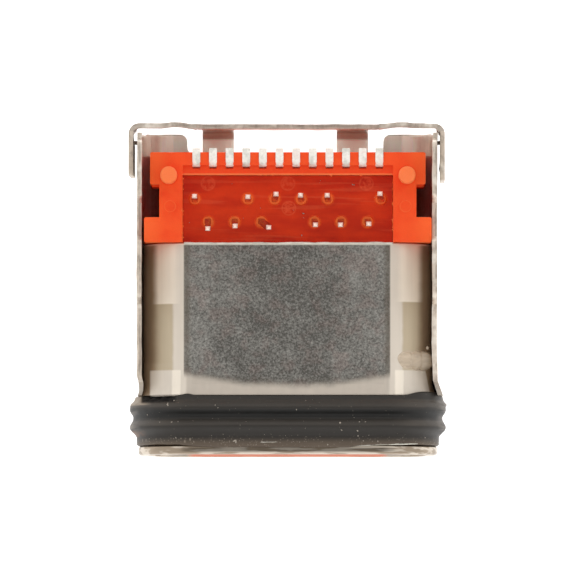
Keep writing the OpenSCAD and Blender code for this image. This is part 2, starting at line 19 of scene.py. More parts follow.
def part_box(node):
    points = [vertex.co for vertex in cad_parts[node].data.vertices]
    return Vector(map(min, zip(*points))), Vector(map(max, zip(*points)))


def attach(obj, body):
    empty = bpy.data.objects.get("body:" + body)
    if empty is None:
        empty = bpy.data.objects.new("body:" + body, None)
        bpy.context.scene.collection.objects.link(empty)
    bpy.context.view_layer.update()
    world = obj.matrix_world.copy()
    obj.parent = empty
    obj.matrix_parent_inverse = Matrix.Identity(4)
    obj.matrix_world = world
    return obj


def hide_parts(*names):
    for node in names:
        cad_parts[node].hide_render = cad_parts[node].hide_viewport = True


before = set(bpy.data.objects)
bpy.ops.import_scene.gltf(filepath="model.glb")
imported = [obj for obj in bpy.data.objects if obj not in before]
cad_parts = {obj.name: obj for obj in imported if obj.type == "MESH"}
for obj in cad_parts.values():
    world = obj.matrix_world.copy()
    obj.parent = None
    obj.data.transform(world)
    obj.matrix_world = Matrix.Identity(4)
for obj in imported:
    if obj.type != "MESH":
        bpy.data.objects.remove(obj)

LOG = logging.getLogger("socket")
MM = 0.001
BODY = "root"
Colour = tuple[float, float, float]


# ---------------------------------------------------------------- places and sizes


@dataclass(frozen=True)
class Placing:
    """Where the tube's own frame lies in the row frame, in metres."""

    mouth_y: float
    axis_z: float

    @classmethod
    def from_frame(cls) -> "Placing":
        """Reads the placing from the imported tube.

        Returns:
            The placing of the tube's own frame.
        """
        low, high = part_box("mouth_tube")
        return cls(mouth_y=low[1], axis_z=(low[2] + high[2]) / 2)

    def row(self, x: float, y: float, z: float) -> Vector:
        """Turns a point in the tube's frame into the row frame.

        Args:
            x: Millimetres to the right of the middle.
            y: Millimetres behind the mouth face.
            z: Millimetres above the tube's axis.

        Returns:
            The same point in metres in the row frame.
        """
        return Vector((x * MM, y * MM + self.mouth_y, z * MM + self.axis_z))


PLACE = Placing.from_frame()


def linear(red: int, green: int, blue: int) -> Colour:
    """Turns display colour levels of 0 to 255 into the linear values that a shader takes.

    Args:
        red: Red level.
        green: Green level.
        blue: Blue level.

    Returns:
        The linear colour.
    """
    levels = [level / 255 for level in (red, green, blue)]
    return tuple(v / 12.92 if v <= 0.04045 else ((v + 0.055) / 1.055) ** 2.4 for v in levels)


# ---------------------------------------------------------------- shader arithmetic


class Wire:
    """A socket that takes part in Python arithmetic: every operator adds its Math node."""

    def __init__(self, graph: "Graph", socket: bpy.types.NodeSocket) -> None:
        """Wraps a socket of a graph.

        Args:
            graph: The graph that new nodes go into.
            socket: The output socket.
        """
        self.graph = graph
        self.socket = socket

    def _math(self, operation: str, *operands: "Wire | float") -> "Wire":
        """Adds a Math node on the operands and returns its result."""
        inputs = dict(enumerate(operands))
        return self.graph.node("ShaderNodeMath", {"operation": operation}, inputs)

    def __add__(self, other: "Wire | float") -> "Wire":
        """Sum."""
        return self._math("ADD", self, other)

    __radd__ = __add__

    def __sub__(self, other: "Wire | float") -> "Wire":
        """Difference."""
        return self._math("SUBTRACT", self, other)

    def __rsub__(self, other: float) -> "Wire":
        """Difference from a number."""
        return self._math("SUBTRACT", other, self)

    def __mul__(self, other: "Wire | float") -> "Wire":
        """Product."""
        return self._math("MULTIPLY", self, other)

    __rmul__ = __mul__

    def __abs__(self) -> "Wire":
        """Size without sign."""
        return self._math("ABSOLUTE", self)

    def __or__(self, other: "Wire | float") -> "Wire":
        """The larger of two values, the union of two masks."""
        return self._math("MAXIMUM", self, other)

    def clamp(self) -> "Wire":
        """The value held between 0 and 1."""
        return self._math("MINIMUM", self._math("MAXIMUM", self, 0.0), 1.0)

    def rise(self, start: float, end: float) -> "Wire":
        """A smooth step: 0 at start and 1 at end, where end may be the smaller.

        Args:
            start: Value at which the step begins.
            end: Value at which the step is complete.

        Returns:
            The step between 0 and 1.
        """
        settings = {"interpolation_type": "SMOOTHSTEP"}
        inputs = {"Value": self, "From Min": start, "From Max": end}
        return self.graph.node("ShaderNodeMapRange", settings, inputs)

    def band(self, low: float, high: float, soft: float) -> "Wire":
        """A mask that is 1 from low to high, with soft edges outside them.

        Args:
            low: Lower end of the band.
            high: Upper end of the band.
            soft: Width of each edge.

        Returns:
            The mask.
        """
        return self.rise(low - soft, low) * self.rise(high + soft, high)


class Graph:
    """A node tree with one way to add any node."""

    def __init__(self, tree: bpy.types.NodeTree) -> None:
        """Starts on an emptied tree.

        Args:
            tree: The tree of a material or the world.
        """
        tree.nodes.clear()
        self.tree = tree

    def add(self, kind: str, settings: dict | None = None, inputs: dict | None = None) -> bpy.types.Node:
        """Adds a node, sets it, and connects its inputs.

        Args:
            kind: The node's type name.
            settings: Properties set first.
            inputs: Values or wires by the socket's name or number.

        Returns:
            The node.
        """
        node = self.tree.nodes.new(kind)
        for name, value in (settings or {}).items():
            setattr(node, name, value)
        for name, value in (inputs or {}).items():
            if isinstance(value, Wire):
                self.tree.links.new(value.socket, node.inputs[name])
            else:
                target = node.inputs[name]
                flat = isinstance(value, tuple) and len(value) == 3 and target.type == "RGBA"
                target.default_value = (*value, 1.0) if flat else value
        return node

    def node(
        self, kind: str, settings: dict | None = None, inputs: dict | None = None, out: int | str = 0
    ) -> Wire:
        """Adds a node and returns one of its outputs as a wire.

        Args:
            kind: The node's type name.
            settings: As for add.
            inputs: As for add.
            out: Name or number of the output.

        Returns:
            The output.
        """
        return Wire(self, self.add(kind, settings, inputs).outputs[out])

    def blend(self, amount: Wire | float, first: Wire | Colour, second: Wire | Colour) -> Wire:
        """Mixes two colours.

        Args:
            amount: 0 gives the first colour and 1 the second.
            first: A colour.
            second: A colour.

        Returns:
            The mixed colour.
        """
        return self.node("ShaderNodeMix", {"data_type": "RGBA"}, {0: amount, 6: first, 7: second}, out=2)

    def tint(self, colour: Wire | Colour, amount: Wire | float) -> Wire:
        """Scales a colour by a value.

        Args:
            colour: The colour.
            amount: The factor.

        Returns:
            The scaled colour.
        """
        return self.node("ShaderNodeVectorMath", {"operation": "SCALE"}, {0: colour, "Scale": amount})

    def bump(self, height: Wire, depth: float, strength: float = 1.0) -> Wire:
        """Turns a height between 0 and 1 into a normal.

        Args:
            height: The height.
            depth: Millimetres from 0 to 1.
            strength: Share of the effect.

        Returns:
            The bumped normal.
        """
        inputs = {"Strength": strength, "Distance": depth * MM, "Height": height}
        return self.node("ShaderNodeBump", None, inputs)


class Spot:
    """The shaded point's place in the tube's own frame, in millimetres."""

    def __init__(self, graph: Graph) -> None:
        """Adds the nodes that give the place.

        Args:
            graph: The material's graph.
        """
        self.graph = graph
        place = graph.node("ShaderNodeTexCoord", out="Object")
        moved = graph.node(
            "ShaderNodeVectorMath",
            {"operation": "SUBTRACT"},
            {0: place, 1: (0.0, PLACE.mouth_y, PLACE.axis_z)},
        )
        self.vector = graph.node("ShaderNodeVectorMath", {"operation": "SCALE"}, {0: moved, "Scale": 1 / MM})
        split = graph.add("ShaderNodeSeparateXYZ", None, {0: self.vector})
        self.x, self.y, self.z = (Wire(graph, split.outputs[axis]) for axis in range(3))
        face_normal = graph.node("ShaderNodeNewGeometry", out="Normal")
        facing = graph.add("ShaderNodeSeparateXYZ", None, {0: face_normal})
        self.face_x, self.face_y, self.face_z = (Wire(graph, facing.outputs[axis]) for axis in range(3))

    def grain(
        self, per_mm: float, detail: float = 2.0, stretch: Colour = (1.0, 1.0, 1.0), rough: float = 0.5
    ) -> Wire:
        """Noise between 0 and 1.

        Args:
            per_mm: Number of grains in a millimetre.
            detail: Number of finer layers.
            stretch: Share of the scale along each axis; less than 1 draws the grain out.
            rough: Strength of the finer layers.

        Returns:
            The noise.
        """
        multiply = {"operation": "MULTIPLY"}
        scaled = self.graph.node("ShaderNodeVectorMath", multiply, {0: self.vector, 1: stretch})
        inputs = {"Vector": scaled, "Scale": per_mm, "Detail": detail, "Roughness": rough}
        return self.graph.node("ShaderNodeTexNoise", None, inputs)

    def cells(self, per_mm: float, stretch: Colour = (1.0, 1.0, 1.0)) -> Wire:
        """Distance to the nearest of scattered points, for specks and pits.

        Args:
            per_mm: Number of points in a millimetre.
            stretch: Share of the scale along each axis.

        Returns:
            The distance, 0 at a point.
        """
        multiply = {"operation": "MULTIPLY"}
        scaled = self.graph.node("ShaderNodeVectorMath", multiply, {0: self.vector, 1: stretch})
        return self.graph.node("ShaderNodeTexVoronoi", None, {"Vector": scaled, "Scale": per_mm})

    def near(self, x: float, y: float) -> Wire:
        """Distance in plan from a place.

        Args:
            x: Millimetres to the right of the middle.
            y: Millimetres behind the mouth face.

        Returns:
            The distance in millimetres.
        """
        flat = self.graph.node("ShaderNodeCombineXYZ", None, {0: self.x, 1: self.y, 2: 0.0})
        settings = {"operation": "DISTANCE"}
        return self.graph.node("ShaderNodeVectorMath", settings, {0: flat, 1: (x, y, 0.0)}, out="Value")


# ---------------------------------------------------------------- finishes


@dataclass(frozen=True)
class Finish:
    """What every finish shares: a name and the fixed settings of its shader."""

    name: str
    metallic: float = 0.0
    specular: float = 0.5
    coat: float = 0.0
    coat_roughness: float = 0.05
    coat_ior: float = 1.5
    soft_light: float = 0.0

    def shade(self, spot: Spot) -> dict[str, "Wire | float | Colour"]:
        """The inputs that vary over the surface.

        Args:
            spot: The shaded point.

        Returns:
            Values or wires by the shader input's name.
        """
        raise NotImplementedError

    def material(self) -> bpy.types.Material:
        """Makes the material once and then returns the same one.

        Returns:
            The material.
        """
        made = bpy.data.materials.get(self.name)
        if made:
            return made
        made = bpy.data.materials.new(self.name)
        made.use_nodes = True
        graph = Graph(made.node_tree)
        inputs = {
            "Metallic": self.metallic,
            "Specular IOR Level": self.specular,
            "Coat Weight": self.coat,
            "Coat Roughness": self.coat_roughness,
            "Coat IOR": self.coat_ior,
        }
        if self.soft_light:
            inputs["Subsurface Weight"] = self.soft_light
            inputs["Subsurface Radius"] = (1.0, 0.25, 0.1)
            inputs["Subsurface Scale"] = 0.25 * MM
        inputs.update(self.shade(Spot(graph)))
        shader = graph.node("ShaderNodeBsdfPrincipled", None, inputs)
        graph.add("ShaderNodeOutputMaterial", None, {"Surface": shader})
        return made


@dataclass(frozen=True)
class DrawnSteel(Finish):
    """Satin drawn stainless of the mouth tube: an etched, speckled flat and smoother round ends."""

    flat_dark: Colour = linear(96, 94, 90)
    flat_pale: Colour = linear(192, 190, 184)
    flat_rosy: Colour = linear(150, 132, 126)
    edge_brown: Colour = linear(98, 90, 78)
    side_beige: Colour = linear(216, 206, 193)
    apron: Colour = linear(190, 180, 168)
    front_lip: Colour = linear(150, 136, 120)
    # Painted highlight colour for the tube's rounded rear edge.
    rear_lip: Colour = linear(236, 232, 218)
    inner_blush: Colour = linear(240, 150, 124)
    flat_left: float = -3.1
    flat_right: float = 3.05
    flat_front: float = 1.98
    flat_bow: float = 0.034
    # Round ends: a painted highlight, a painted shade, and painted shade with a painted reflection of the wall deep
    # in the groove.
    side_highlight: Colour = linear(240, 230, 215)
    side_shade: Colour = linear(190, 175, 150)
    side_shade_and_reflection: Colour = linear(150, 128, 104)

    def side(self, spot: Spot) -> Wire:
        """The round ends' bands: a painted highlight above, painted shade and painted reflection in brown deep in
        the grooves, stepped where the wall is jointed.
        """
        graph = spot.graph
        jitter = (spot.grain(3.0, 2.0, stretch=(0.3, 1.0, 0.3)) - 0.5) * 0.05
        across = abs(spot.x) + jitter
        joint = 4.5 + spot.x.rise(0.0, 1.0) * 0.06
        front = graph.blend(across.rise(3.4, 3.5), self.side_beige, self.side_shade)
        rear = graph.blend(across.rise(3.2, 3.5), self.side_beige, self.side_highlight)
        colour = graph.blend((spot.y - joint).rise(0.0, 0.05), front, rear)
        # Painted shade and painted reflection of the wall where the round end turns down beside the wall.
        colour = graph.blend(across.rise(3.85, 4.1), colour, self.side_shade_and_reflection)
        patch_edge = 4.14 + spot.x.rise(0.0, 1.0) * (2.5 - spot.y) * 0.2
        patch = spot.y.rise(2.56, 2.5) * (patch_edge - abs(spot.x)).rise(-0.03, 0.02)
        # Painted highlight strip on the foot patch.
        foot = graph.blend(across.band(3.25, 3.45, 0.06), self.side_beige, self.side_highlight)
        return graph.blend(patch, colour, foot)

    def shade(self, spot: Spot) -> dict[str, "Wire | float | Colour"]:
        """Speckled grey on the flats, warm and drawn on the rest, with painted highlight and shade on the round
        ends and a painted highlight on the rear edge.
        """
        graph = spot.graph
        wander = spot.grain(1.6, 3.0)
        front = spot.y - spot.x * spot.x * self.flat_bow - 0.2 * (wander - 0.5)
        etched = front.rise(self.flat_front - 0.06, self.flat_front + 0.24)
        flat = spot.x.band(self.flat_left, self.flat_right, 0.05) * etched
        flat = flat * abs(spot.z).rise(1.3, 1.4)
        speckle = spot.grain(16.0, 3.0, rough=0.75)
        fleck = spot.cells(10.0).rise(0.26, 0.1)
        blotch = spot.grain(1.1, 4.0, rough=0.65)
        light = 0.04 + (speckle - 0.44) * 1.9 + fleck * 0.14 + (blotch - 0.5) * 0.7
        light = light + abs(spot.x).rise(0.6, 2.6) * 0.18
        grey = graph.blend(light.clamp(), self.flat_dark, self.flat_pale)
        rosy = graph.tint(self.flat_rosy, 0.6 + light)
        grey = graph.blend(spot.grain(2.4, 3.0).rise(0.45, 0.65) * 0.35, grey, rosy)
        margin = abs(spot.x + 0.02).rise(2.84, 3.04)
        margin = margin | front.rise(self.flat_front + 0.4, self.flat_front + 0.1) * 0.5
        grey = graph.blend((margin * (0.3 + 0.5 * wander)).clamp(), grey, self.edge_brown)
        drawn = spot.grain(6.0, 2.0, stretch=(1.0, 0.06, 1.0))
        top = spot.z.rise(-0.2, 0.3) * spot.y.rise(1.7, 1.8)
        ends = abs(spot.x).rise(3.0, 3.1) * top
        beige = graph.blend(ends, self.side_beige, self.side(spot))
        beige = graph.blend((top - ends).clamp() * spot.y.rise(2.7, 2.5), beige, self.apron)
        beige = graph.tint(beige, 0.86 + 0.16 * drawn + 0.08 * blotch)
        colour = graph.blend(flat, beige, grey)
        lip = spot.y.rise(0.34, 0.26) * spot.face_z.rise(-0.2, 0.4)
        wavy = spot.grain(2.4, 3.0, stretch=(0.35, 3.0, 1.0))
        stained = (lip * (0.35 + 0.9 * wavy.rise(0.45, 0.6))).clamp()
        colour = graph.blend(stained, colour, self.front_lip)
        inside = spot.face_z.rise(0.3, 0.8) * spot.z.rise(-1.0, -1.2) * spot.y.rise(0.34, 0.2)
        colour = graph.blend(inside * abs(spot.x).rise(3.1, 2.8), colour, self.inner_blush)
        # Painted highlight along the rounded rear edge.
        rear_edge_highlight = spot.y.rise(6.27, 6.31) * spot.face_z.rise(0.2, 0.7)
        colour = graph.blend(rear_edge_highlight * 0.8, colour, self.rear_lip)
        height = speckle * flat + drawn * (1 - flat) * 0.4
        soft = (ends * 0.75 | top * (1 - flat) * spot.y.rise(2.9, 2.7)).clamp()
        return {
            "Base Color": colour,
            "Metallic": ((1 - inside) * (1 - soft)).clamp(),
            "Roughness": 0.26 + flat * (0.12 + 0.24 * speckle) + 0.1 * drawn + soft * 0.2,
            "Normal": graph.bump(height, 0.008, 0.7),
        }


@dataclass(frozen=True)
class FoldedSteel(Finish):
    """Stamped stainless sheet of the cover: smooth faces, and rougher sheared edges."""

    sheet: Colour = linear(232, 220, 206)
    stain: Colour = linear(158, 124, 100)
    cool: Colour = linear(226, 255, 242)
    sheared: Colour = linear(214, 201, 187)
    pale: Colour = linear(246, 240, 230)
    torn: Colour = linear(112, 98, 88)
    # Pale pink of the painted reflection of the orange housing on the walls' inner faces.
    deep: Colour = linear(255, 226, 226)
    # Painted shade under the rear wall.
    bend_shade: Colour = linear(120, 104, 96)
    wall_in: float = 4.38
    rear_in: float = 9.83
    thick: float = 0.14

    def shade(self, spot: Spot) -> dict[str, "Wire | float | Colour"]:
        """Streaks along the sheet, faint stains, painted light, shade and reflection on the ears, straps and walls'
        inner faces, and sheared edges with a torn line along their middle.
        """
        graph = spot.graph
        streak = spot.grain(11.0, 3.0, stretch=(1.0, 0.12, 0.4), rough=0.6)
        cloud = spot.grain(1.1, 3.0)
        fine = spot.grain(34.0, 2.0)
        face = graph.tint(self.sheet, 0.7 + 0.34 * streak + 0.2 * fine)
        face = graph.blend(cloud.rise(0.5, 0.8) * 0.4, face, self.stain)
        side = abs(spot.x)
        # Painted reflection of the orange housing on the walls' inner faces beside it.
        glow = side.rise(3.85, 3.95) * side.rise(4.46, 4.42)
        glow = glow * spot.y.band(6.3, 8.9, 0.2) * spot.z.rise(1.5, 1.3)
        glow = glow * spot.face_z.rise(-0.25, -0.05)
        face = graph.blend(glow * 0.85, face, self.deep)
        outside = side.rise(4.43, 4.45) | spot.y.rise(9.93, 9.96) | spot.z.rise(-1.76, -1.8)
        roll = spot.grain(5.0, 4.0, stretch=(0.5, 0.08, 0.6), rough=0.7)
        face = graph.tint(face, 1 - outside * (0.34 - 0.22 * roll))
        # The ears and straps are painted with metal off: a painted highlight band across the ears, painted shade
        # toward their outer edges, and painted light on the straps.
        plate = spot.y.rise(8.9, 9.05) * spot.z.rise(-1.0, -1.3) * spot.face_z.rise(0.2, 0.6)
        shade = 0.92 + 0.25 * streak + 0.34 * side.band(3.5, 3.82, 0.1) - 0.14 * side.rise(3.95, 4.15)
        shade = shade + 0.4 * side.rise(2.85, 2.75)
        warm = spot.y.rise(9.4, 9.7) * side.rise(2.75, 2.85) * 0.5
        face = graph.blend(plate * 0.95, face, graph.tint(graph.blend(warm, self.cool, self.sheet), shade))
        inner = spot.y.rise(9.7, 9.76) * spot.y.rise(9.965, 9.935)
        inner = inner * side.rise(2.5, 2.6) * spot.z.rise(-1.3, -1.1)
        face = graph.blend(inner * 0.9, face, self.sheared)
        # Painted shade under the rear wall on the straps' bends; the same colour darkens the ears' rear edge.
        bend = spot.y.rise(9.56, 9.64) * side.rise(2.75, 2.65) * spot.z.rise(0.2, 0.0)
        rim = plate * spot.y.rise(9.69, 9.74) * side.rise(2.8, 2.9)
        face = graph.blend((bend * 0.6 | rim * 0.6).clamp(), face, self.bend_shade)
        cut = spot.face_z.rise(0.45, 0.85) * spot.z.rise(-1.2, -0.9)
        walls = spot.y.rise(9.78, 9.7)
        across = walls * (abs(spot.x) - self.wall_in) + (1 - walls) * (spot.y - self.rear_in)
        run = spot.grain(1.9, 3.0, stretch=(0.6, 0.6, 0.2), rough=0.6)
        thin = spot.grain(14.0, 3.0, stretch=(0.5, 0.25, 0.2), rough=0.7)
        wander = (spot.grain(1.3, 2.0) - 0.5) * 0.12
        middle = (across + wander).band(self.thick * 0.4, self.thick * 0.62, 0.035)
        line = middle * run.rise(0.42, 0.6) * 0.45
        nick = spot.cells(1.4, stretch=(0.2, 1.0, 0.2)).rise(0.1, 0.04) * walls
        edge = graph.tint(self.sheared, 0.76 + 0.24 * walls)
        edge = graph.blend((thin.rise(0.4, 0.75) * 0.45).clamp(), edge, self.torn)
        edge = graph.blend(run.rise(0.48, 0.34) * 0.6, edge, self.pale)
        edge = graph.blend((line | nick).clamp(), edge, self.torn)
        front_end = spot.y.rise(2.5, 1.9) * cut
        edge = graph.blend(front_end * 0.5, edge, self.torn)
        loose = (glow * 0.9 | (1 - cut) * 0.25 | plate * 0.95 | inner * 0.9).clamp()
        return {
            "Base Color": graph.blend(cut, face, edge),
            "Metallic": ((1 - 0.5 * cut) * (1 - loose)).clamp(),
            "Roughness": 0.24 + 0.14 * streak + 0.1 * cloud + 0.25 * cut + 0.08 * outside,
            "Normal": graph.bump(streak * 0.6 + fine * 0.3 + thin * cut, 0.008, 0.7),
        }


@dataclass(frozen=True)
class InnerSteel(Finish):
    """Plain stamped steel of the mid plate and the ground pads."""

    sheet: Colour = linear(190, 186, 178)

    def shade(self, spot: Spot) -> dict[str, "Wire | float | Colour"]:
        """A short drawn grain."""
        grain = spot.grain(16.0, 3.0, stretch=(1.0, 0.2, 1.0))
        return {
            "Base Color": spot.graph.tint(self.sheet, 0.75 + 0.4 * grain),
            "Roughness": 0.28 + 0.14 * grain,
            "Normal": spot.graph.bump(grain, 0.003, 0.5),
        }


@dataclass(frozen=True)
class Rubber(Finish):
    """Black rubber of the sealing ring: painted shade between the lips, worn grey that is partly a painted
    highlight on the lips, and dusty in front.
    """

    skin: Colour = linear(38, 34, 30)
    # Partly worn rubber and partly a painted highlight on the lips.
    rubbed_highlight: Colour = linear(66, 60, 54)
    # Painted shade between the lips.
    groove: Colour = linear(12, 11, 9)
    front: Colour = linear(90, 78, 66)
    first_lip: float = 0.85
    rear_lip: float = 1.405
    face: float = 0.29
    # Pale of the painted highlight on the upper left end of the ring.
    pale: Colour = linear(168, 152, 134)
    # Grey of the painted highlight at the ring's round ends.
    grey: Colour = linear(146, 138, 130)
    rust: Colour = linear(132, 92, 66)
    dust: Colour = linear(150, 138, 124)
    # Painted shade in the tear.
    tear_shade: Colour = linear(14, 9, 6)

    def shade(self, spot: Spot) -> dict[str, "Wire | float | Colour"]:
        """Bands of painted highlight and shade along the lips, a greyer painted highlight at the round ends, with
        dust, rust and painted shade in the tear.
        """
        graph = spot.graph
        cloud = spot.grain(1.8, 4.0, stretch=(0.5, 1.6, 1.0), rough=0.6)
        fine = spot.grain(26.0, 2.0)
        side = abs(spot.x)
        depth = spot.y + (cloud - 0.5) * 0.05
        shine = side.rise(3.0, 3.9) * spot.z.rise(-0.3, 0.4)
        # The lips' flanks are partly worn and partly a painted highlight, stronger toward the round ends.
        flanks = depth.band(self.first_lip + 0.04, self.first_lip + 0.14, 0.07)
        flanks = flanks | depth.band(self.rear_lip + 0.05, self.rear_lip + 0.2, 0.08)
        colour = graph.blend(depth.rise(self.face + 0.25, self.face), self.skin, self.front)
        colour = graph.blend((flanks * (0.45 + 0.55 * shine)).clamp(), colour, self.rubbed_highlight)
        # Painted shade on the rear lip's front flank, between the lips.
        colour = graph.blend(depth.band(self.rear_lip - 0.28, self.rear_lip - 0.1, 0.07), colour, self.groove)
        stripe = spot.grain(3.2, 3.0, stretch=(0.3, 3.0, 0.3))
        # Painted highlight at the ring's round ends.
        rim = side.rise(4.4, 4.85) * spot.z.rise(-0.4, 0.3)
        colour = graph.blend((rim * (stripe.rise(0.35, 0.65) * 0.7)).clamp(), colour, self.grey)
        # Painted highlight on the upper left end of the ring, at its rear edge.
        shoulder_highlight = spot.x.rise(-4.05, -4.4) * spot.y.band(1.52, 1.74, 0.06) * spot.z.rise(-0.6, 0.2)
        colour = graph.blend(shoulder_highlight * cloud.rise(0.2, 0.5) * 0.75, colour, self.pale)
        rusty = spot.x.rise(-4.2, -4.5) * spot.y.band(0.58, 0.7, 0.06)
        colour = graph.blend(rusty * cloud.rise(0.35, 0.6) * 0.5, colour, self.rust)
        specks = spot.cells(8.0).rise(0.14, 0.05) * spot.grain(3.0).rise(0.48, 0.6)
        crumbs = spot.cells(13.0).rise(0.3, 0.12) * spot.y.rise(0.62, 0.34) * cloud.rise(0.3, 0.55)
        smear = spot.cells(9.0, stretch=(1.0, 0.5, 1.0)).rise(0.34, 0.2)
        crumbs = crumbs | smear * spot.x.band(-4.4, -2.9, 0.2) * spot.y.band(0.36, 0.46, 0.04)
        colour = graph.blend((specks * 0.4 | crumbs * 0.5).clamp(), colour, self.dust)
        # Painted shade in the tear at the ring's rear left corner.
        torn = spot.x.band(-4.36, -3.42, 0.08) * spot.y.rise(1.5, 1.6) * spot.z.rise(0.3, 0.5)
        colour = graph.blend((torn * (0.7 + 0.5 * fine)).clamp(), colour, self.tear_shade)
        return {
            "Base Color": graph.tint(colour, 0.8 + 0.3 * cloud + 0.12 * fine),
            "Roughness": 0.36 + 0.2 * cloud + 0.1 * fine + 0.3 * torn,
            "Normal": graph.bump(cloud * 0.6 + fine * 0.4, 0.01, 0.6),
        }


@dataclass(frozen=True)
class OrangeMoulding(Finish):
    """Orange moulded plastic of the housing and its carriers."""

    orange: Colour = linear(250, 90, 42)
    worn: Colour = linear(244, 78, 36)
    deep: Colour = linear(236, 72, 32)
    # Pale orange of the posts and marks, and of the painted highlight on thin edges.
    pale_orange_and_highlight: Colour = linear(255, 140, 84)
    # Painted light that lifts the outer corners out of the wall's shade.
    corner_light_orange: Colour = linear(255, 104, 50)

    def shade(self, spot: Spot) -> dict[str, "Wire | float | Colour"]:
        """Mottled orange, deeper on the ledge and the notches, with a painted highlight on the thin edges and the
        ledge's front line, and painted light on the outer corners.
        """
        graph = spot.graph
        mottle = spot.grain(2.0, 3.0)
        fine = spot.grain(26.0, 3.0)
        side = abs(spot.x)
        up = spot.face_z.rise(0.5, 0.9)
        # Painted light on the outer corners, against the shade of the wall.
        corner = side.rise(3.4, 3.95) * spot.y.rise(7.8, 8.2) | side.rise(3.6, 4.2) * spot.y.rise(7.3, 7.1)
        post = spot.z.rise(1.64, 1.7) * side.rise(3.2, 3.3)
        # Painted highlight on the bevelled edges.
        rubbed_highlight = (1 - spot.face_z.rise(0.75, 0.97)) * spot.z.rise(1.4, 1.5) * 0.7
        foot = (side - 3.58) * (side - 3.58) + (spot.y - 8.38) * (spot.y - 8.38)
        foot = foot.band(0.066, 0.084, 0.012) * up * spot.z.rise(1.68, 1.64)
        mark = (side - 3.54) * (side - 3.54) + (spot.y - 7.45) * (spot.y - 7.45)
        mark = mark.band(0.0255, 0.0305, 0.004) * up * 0.3
        ledge = side.rise(3.2, 3.12) * spot.y.band(8.3, 8.66, 0.04) * up
        # Painted highlight along the ledge's front edge.
        line = side.rise(3.2, 3.12) * spot.y.band(8.4, 8.43, 0.015) * 0.7
        base = graph.blend(mottle.rise(0.35, 0.7), self.orange, self.worn)
        base = graph.blend((ledge * 0.75 | foot * 0.6).clamp(), base, self.deep)
        base = graph.blend((corner * 0.9).clamp(), base, self.corner_light_orange)
        base = graph.blend((post * 0.75 | rubbed_highlight | line | mark).clamp(), base, self.pale_orange_and_highlight)
        return {
            "Base Color": graph.tint(base, 0.93 + 0.12 * fine),
            "Roughness": 0.46 + 0.14 * fine,
            "Normal": graph.bump(fine * 0.5 + mottle * 0.5, 0.008, 0.6),
        }


@dataclass(frozen=True)
class WetResin(Finish):
    """Clear sealing resin over the red recess floor: deep red, wet and faintly uneven."""

    red: Colour = linear(222, 62, 24)
    deep_red: Colour = linear(198, 46, 20)
    disc: Colour = linear(234, 104, 66)
    halo: Colour = linear(252, 104, 40)
    rim: Colour = linear(255, 150, 84)
    shadow: Colour = linear(168, 26, 12)
    disc_half: float = 0.215
    discs: tuple[tuple[float, float], ...] = ((-2.4, 8.16), (0.0, 8.16), (2.36, 8.16), (0.03, 7.42))
    grid: float = 0.4
    rear_row: tuple[float, tuple[int, ...]] = (7.7, (-7, -3, -1, 1, 3, 7))
    front_row: tuple[float, tuple[int, ...]] = (7.0, (-6, -4, -2, 2, 4, 6))

    def shade(self, spot: Spot) -> dict[str, "Wire | float | Colour"]:
        """Ejector marks show through as paler discs, and the resin glows where it climbs the pins."""
        graph = spot.graph
        flow = spot.grain(1.3, 3.0, stretch=(0.5, 1.4, 1.0))
        fine = spot.grain(10.0, 3.0)
        line = spot.grain(2.6, 2.0, stretch=(0.12, 2.6, 1.0))
        base = graph.blend(flow.rise(0.35, 0.68), self.red, self.deep_red)
        base = graph.blend(line.rise(0.56, 0.66) * 0.25, base, self.disc)
        for x, y in self.discs:
            away = spot.near(x, y)
            rim = away.band(self.disc_half - 0.02, self.disc_half, 0.02)
            inside = away.rise(self.disc_half, self.disc_half - 0.03) * fine.rise(0.4, 0.6)
            base = graph.blend((inside * 0.4 + rim * 0.3).clamp(), base, self.disc)
        for y, places in (self.rear_row, self.front_row):
            for place in places:
                away = spot.near(place * self.grid, y) + (fine - 0.5) * 0.04
                base = graph.blend(away.rise(0.24, 0.13) * 0.85, base, self.halo)
                base = graph.blend(away.band(0.12, 0.15, 0.035) * 0.35, base, self.rim)
        left = spot.x.rise(-0.85, -1.15) | spot.x.rise(2.8, 3.1)
        front_side = spot.y.rise(6.6, 6.52) * (0.5 - 0.4 * left)
        base = graph.blend(front_side * flow.rise(0.3, 0.6), base, self.shadow)
        return {
            "Base Color": graph.tint(base, 0.92 + 0.14 * fine),
            "Roughness": 0.1 + 0.1 * fine,
            "Normal": graph.bump(flow * 0.8 + fine * 0.2, 0.03, 0.5),
        }


@dataclass(frozen=True)
class TinPlate(Finish):
    """Matt tin on the contacts' tails, faintly stained."""

    tin: Colour = linear(250, 246, 238)
    cool: Colour = linear(208, 208, 198)
    rosy: Colour = linear(248, 226, 216)

    def shade(self, spot: Spot) -> dict[str, "Wire | float | Colour"]:
        """Dull tin with faint cool and rosy stains."""
        graph = spot.graph
        stain = spot.grain(3.4, 3.0)
        fine = spot.grain(18.0, 3.0)
        base = graph.blend(stain.rise(0.5, 0.7) * 0.7, self.tin, self.cool)
        base = graph.blend(stain.rise(0.46, 0.34) * 0.5, base, self.rosy)
        return {
            "Base Color": graph.tint(base, 0.8 + 0.36 * fine),
            "Roughness": 0.42 + 0.16 * fine,
            "Normal": graph.bump(fine, 0.006, 0.6),
        }


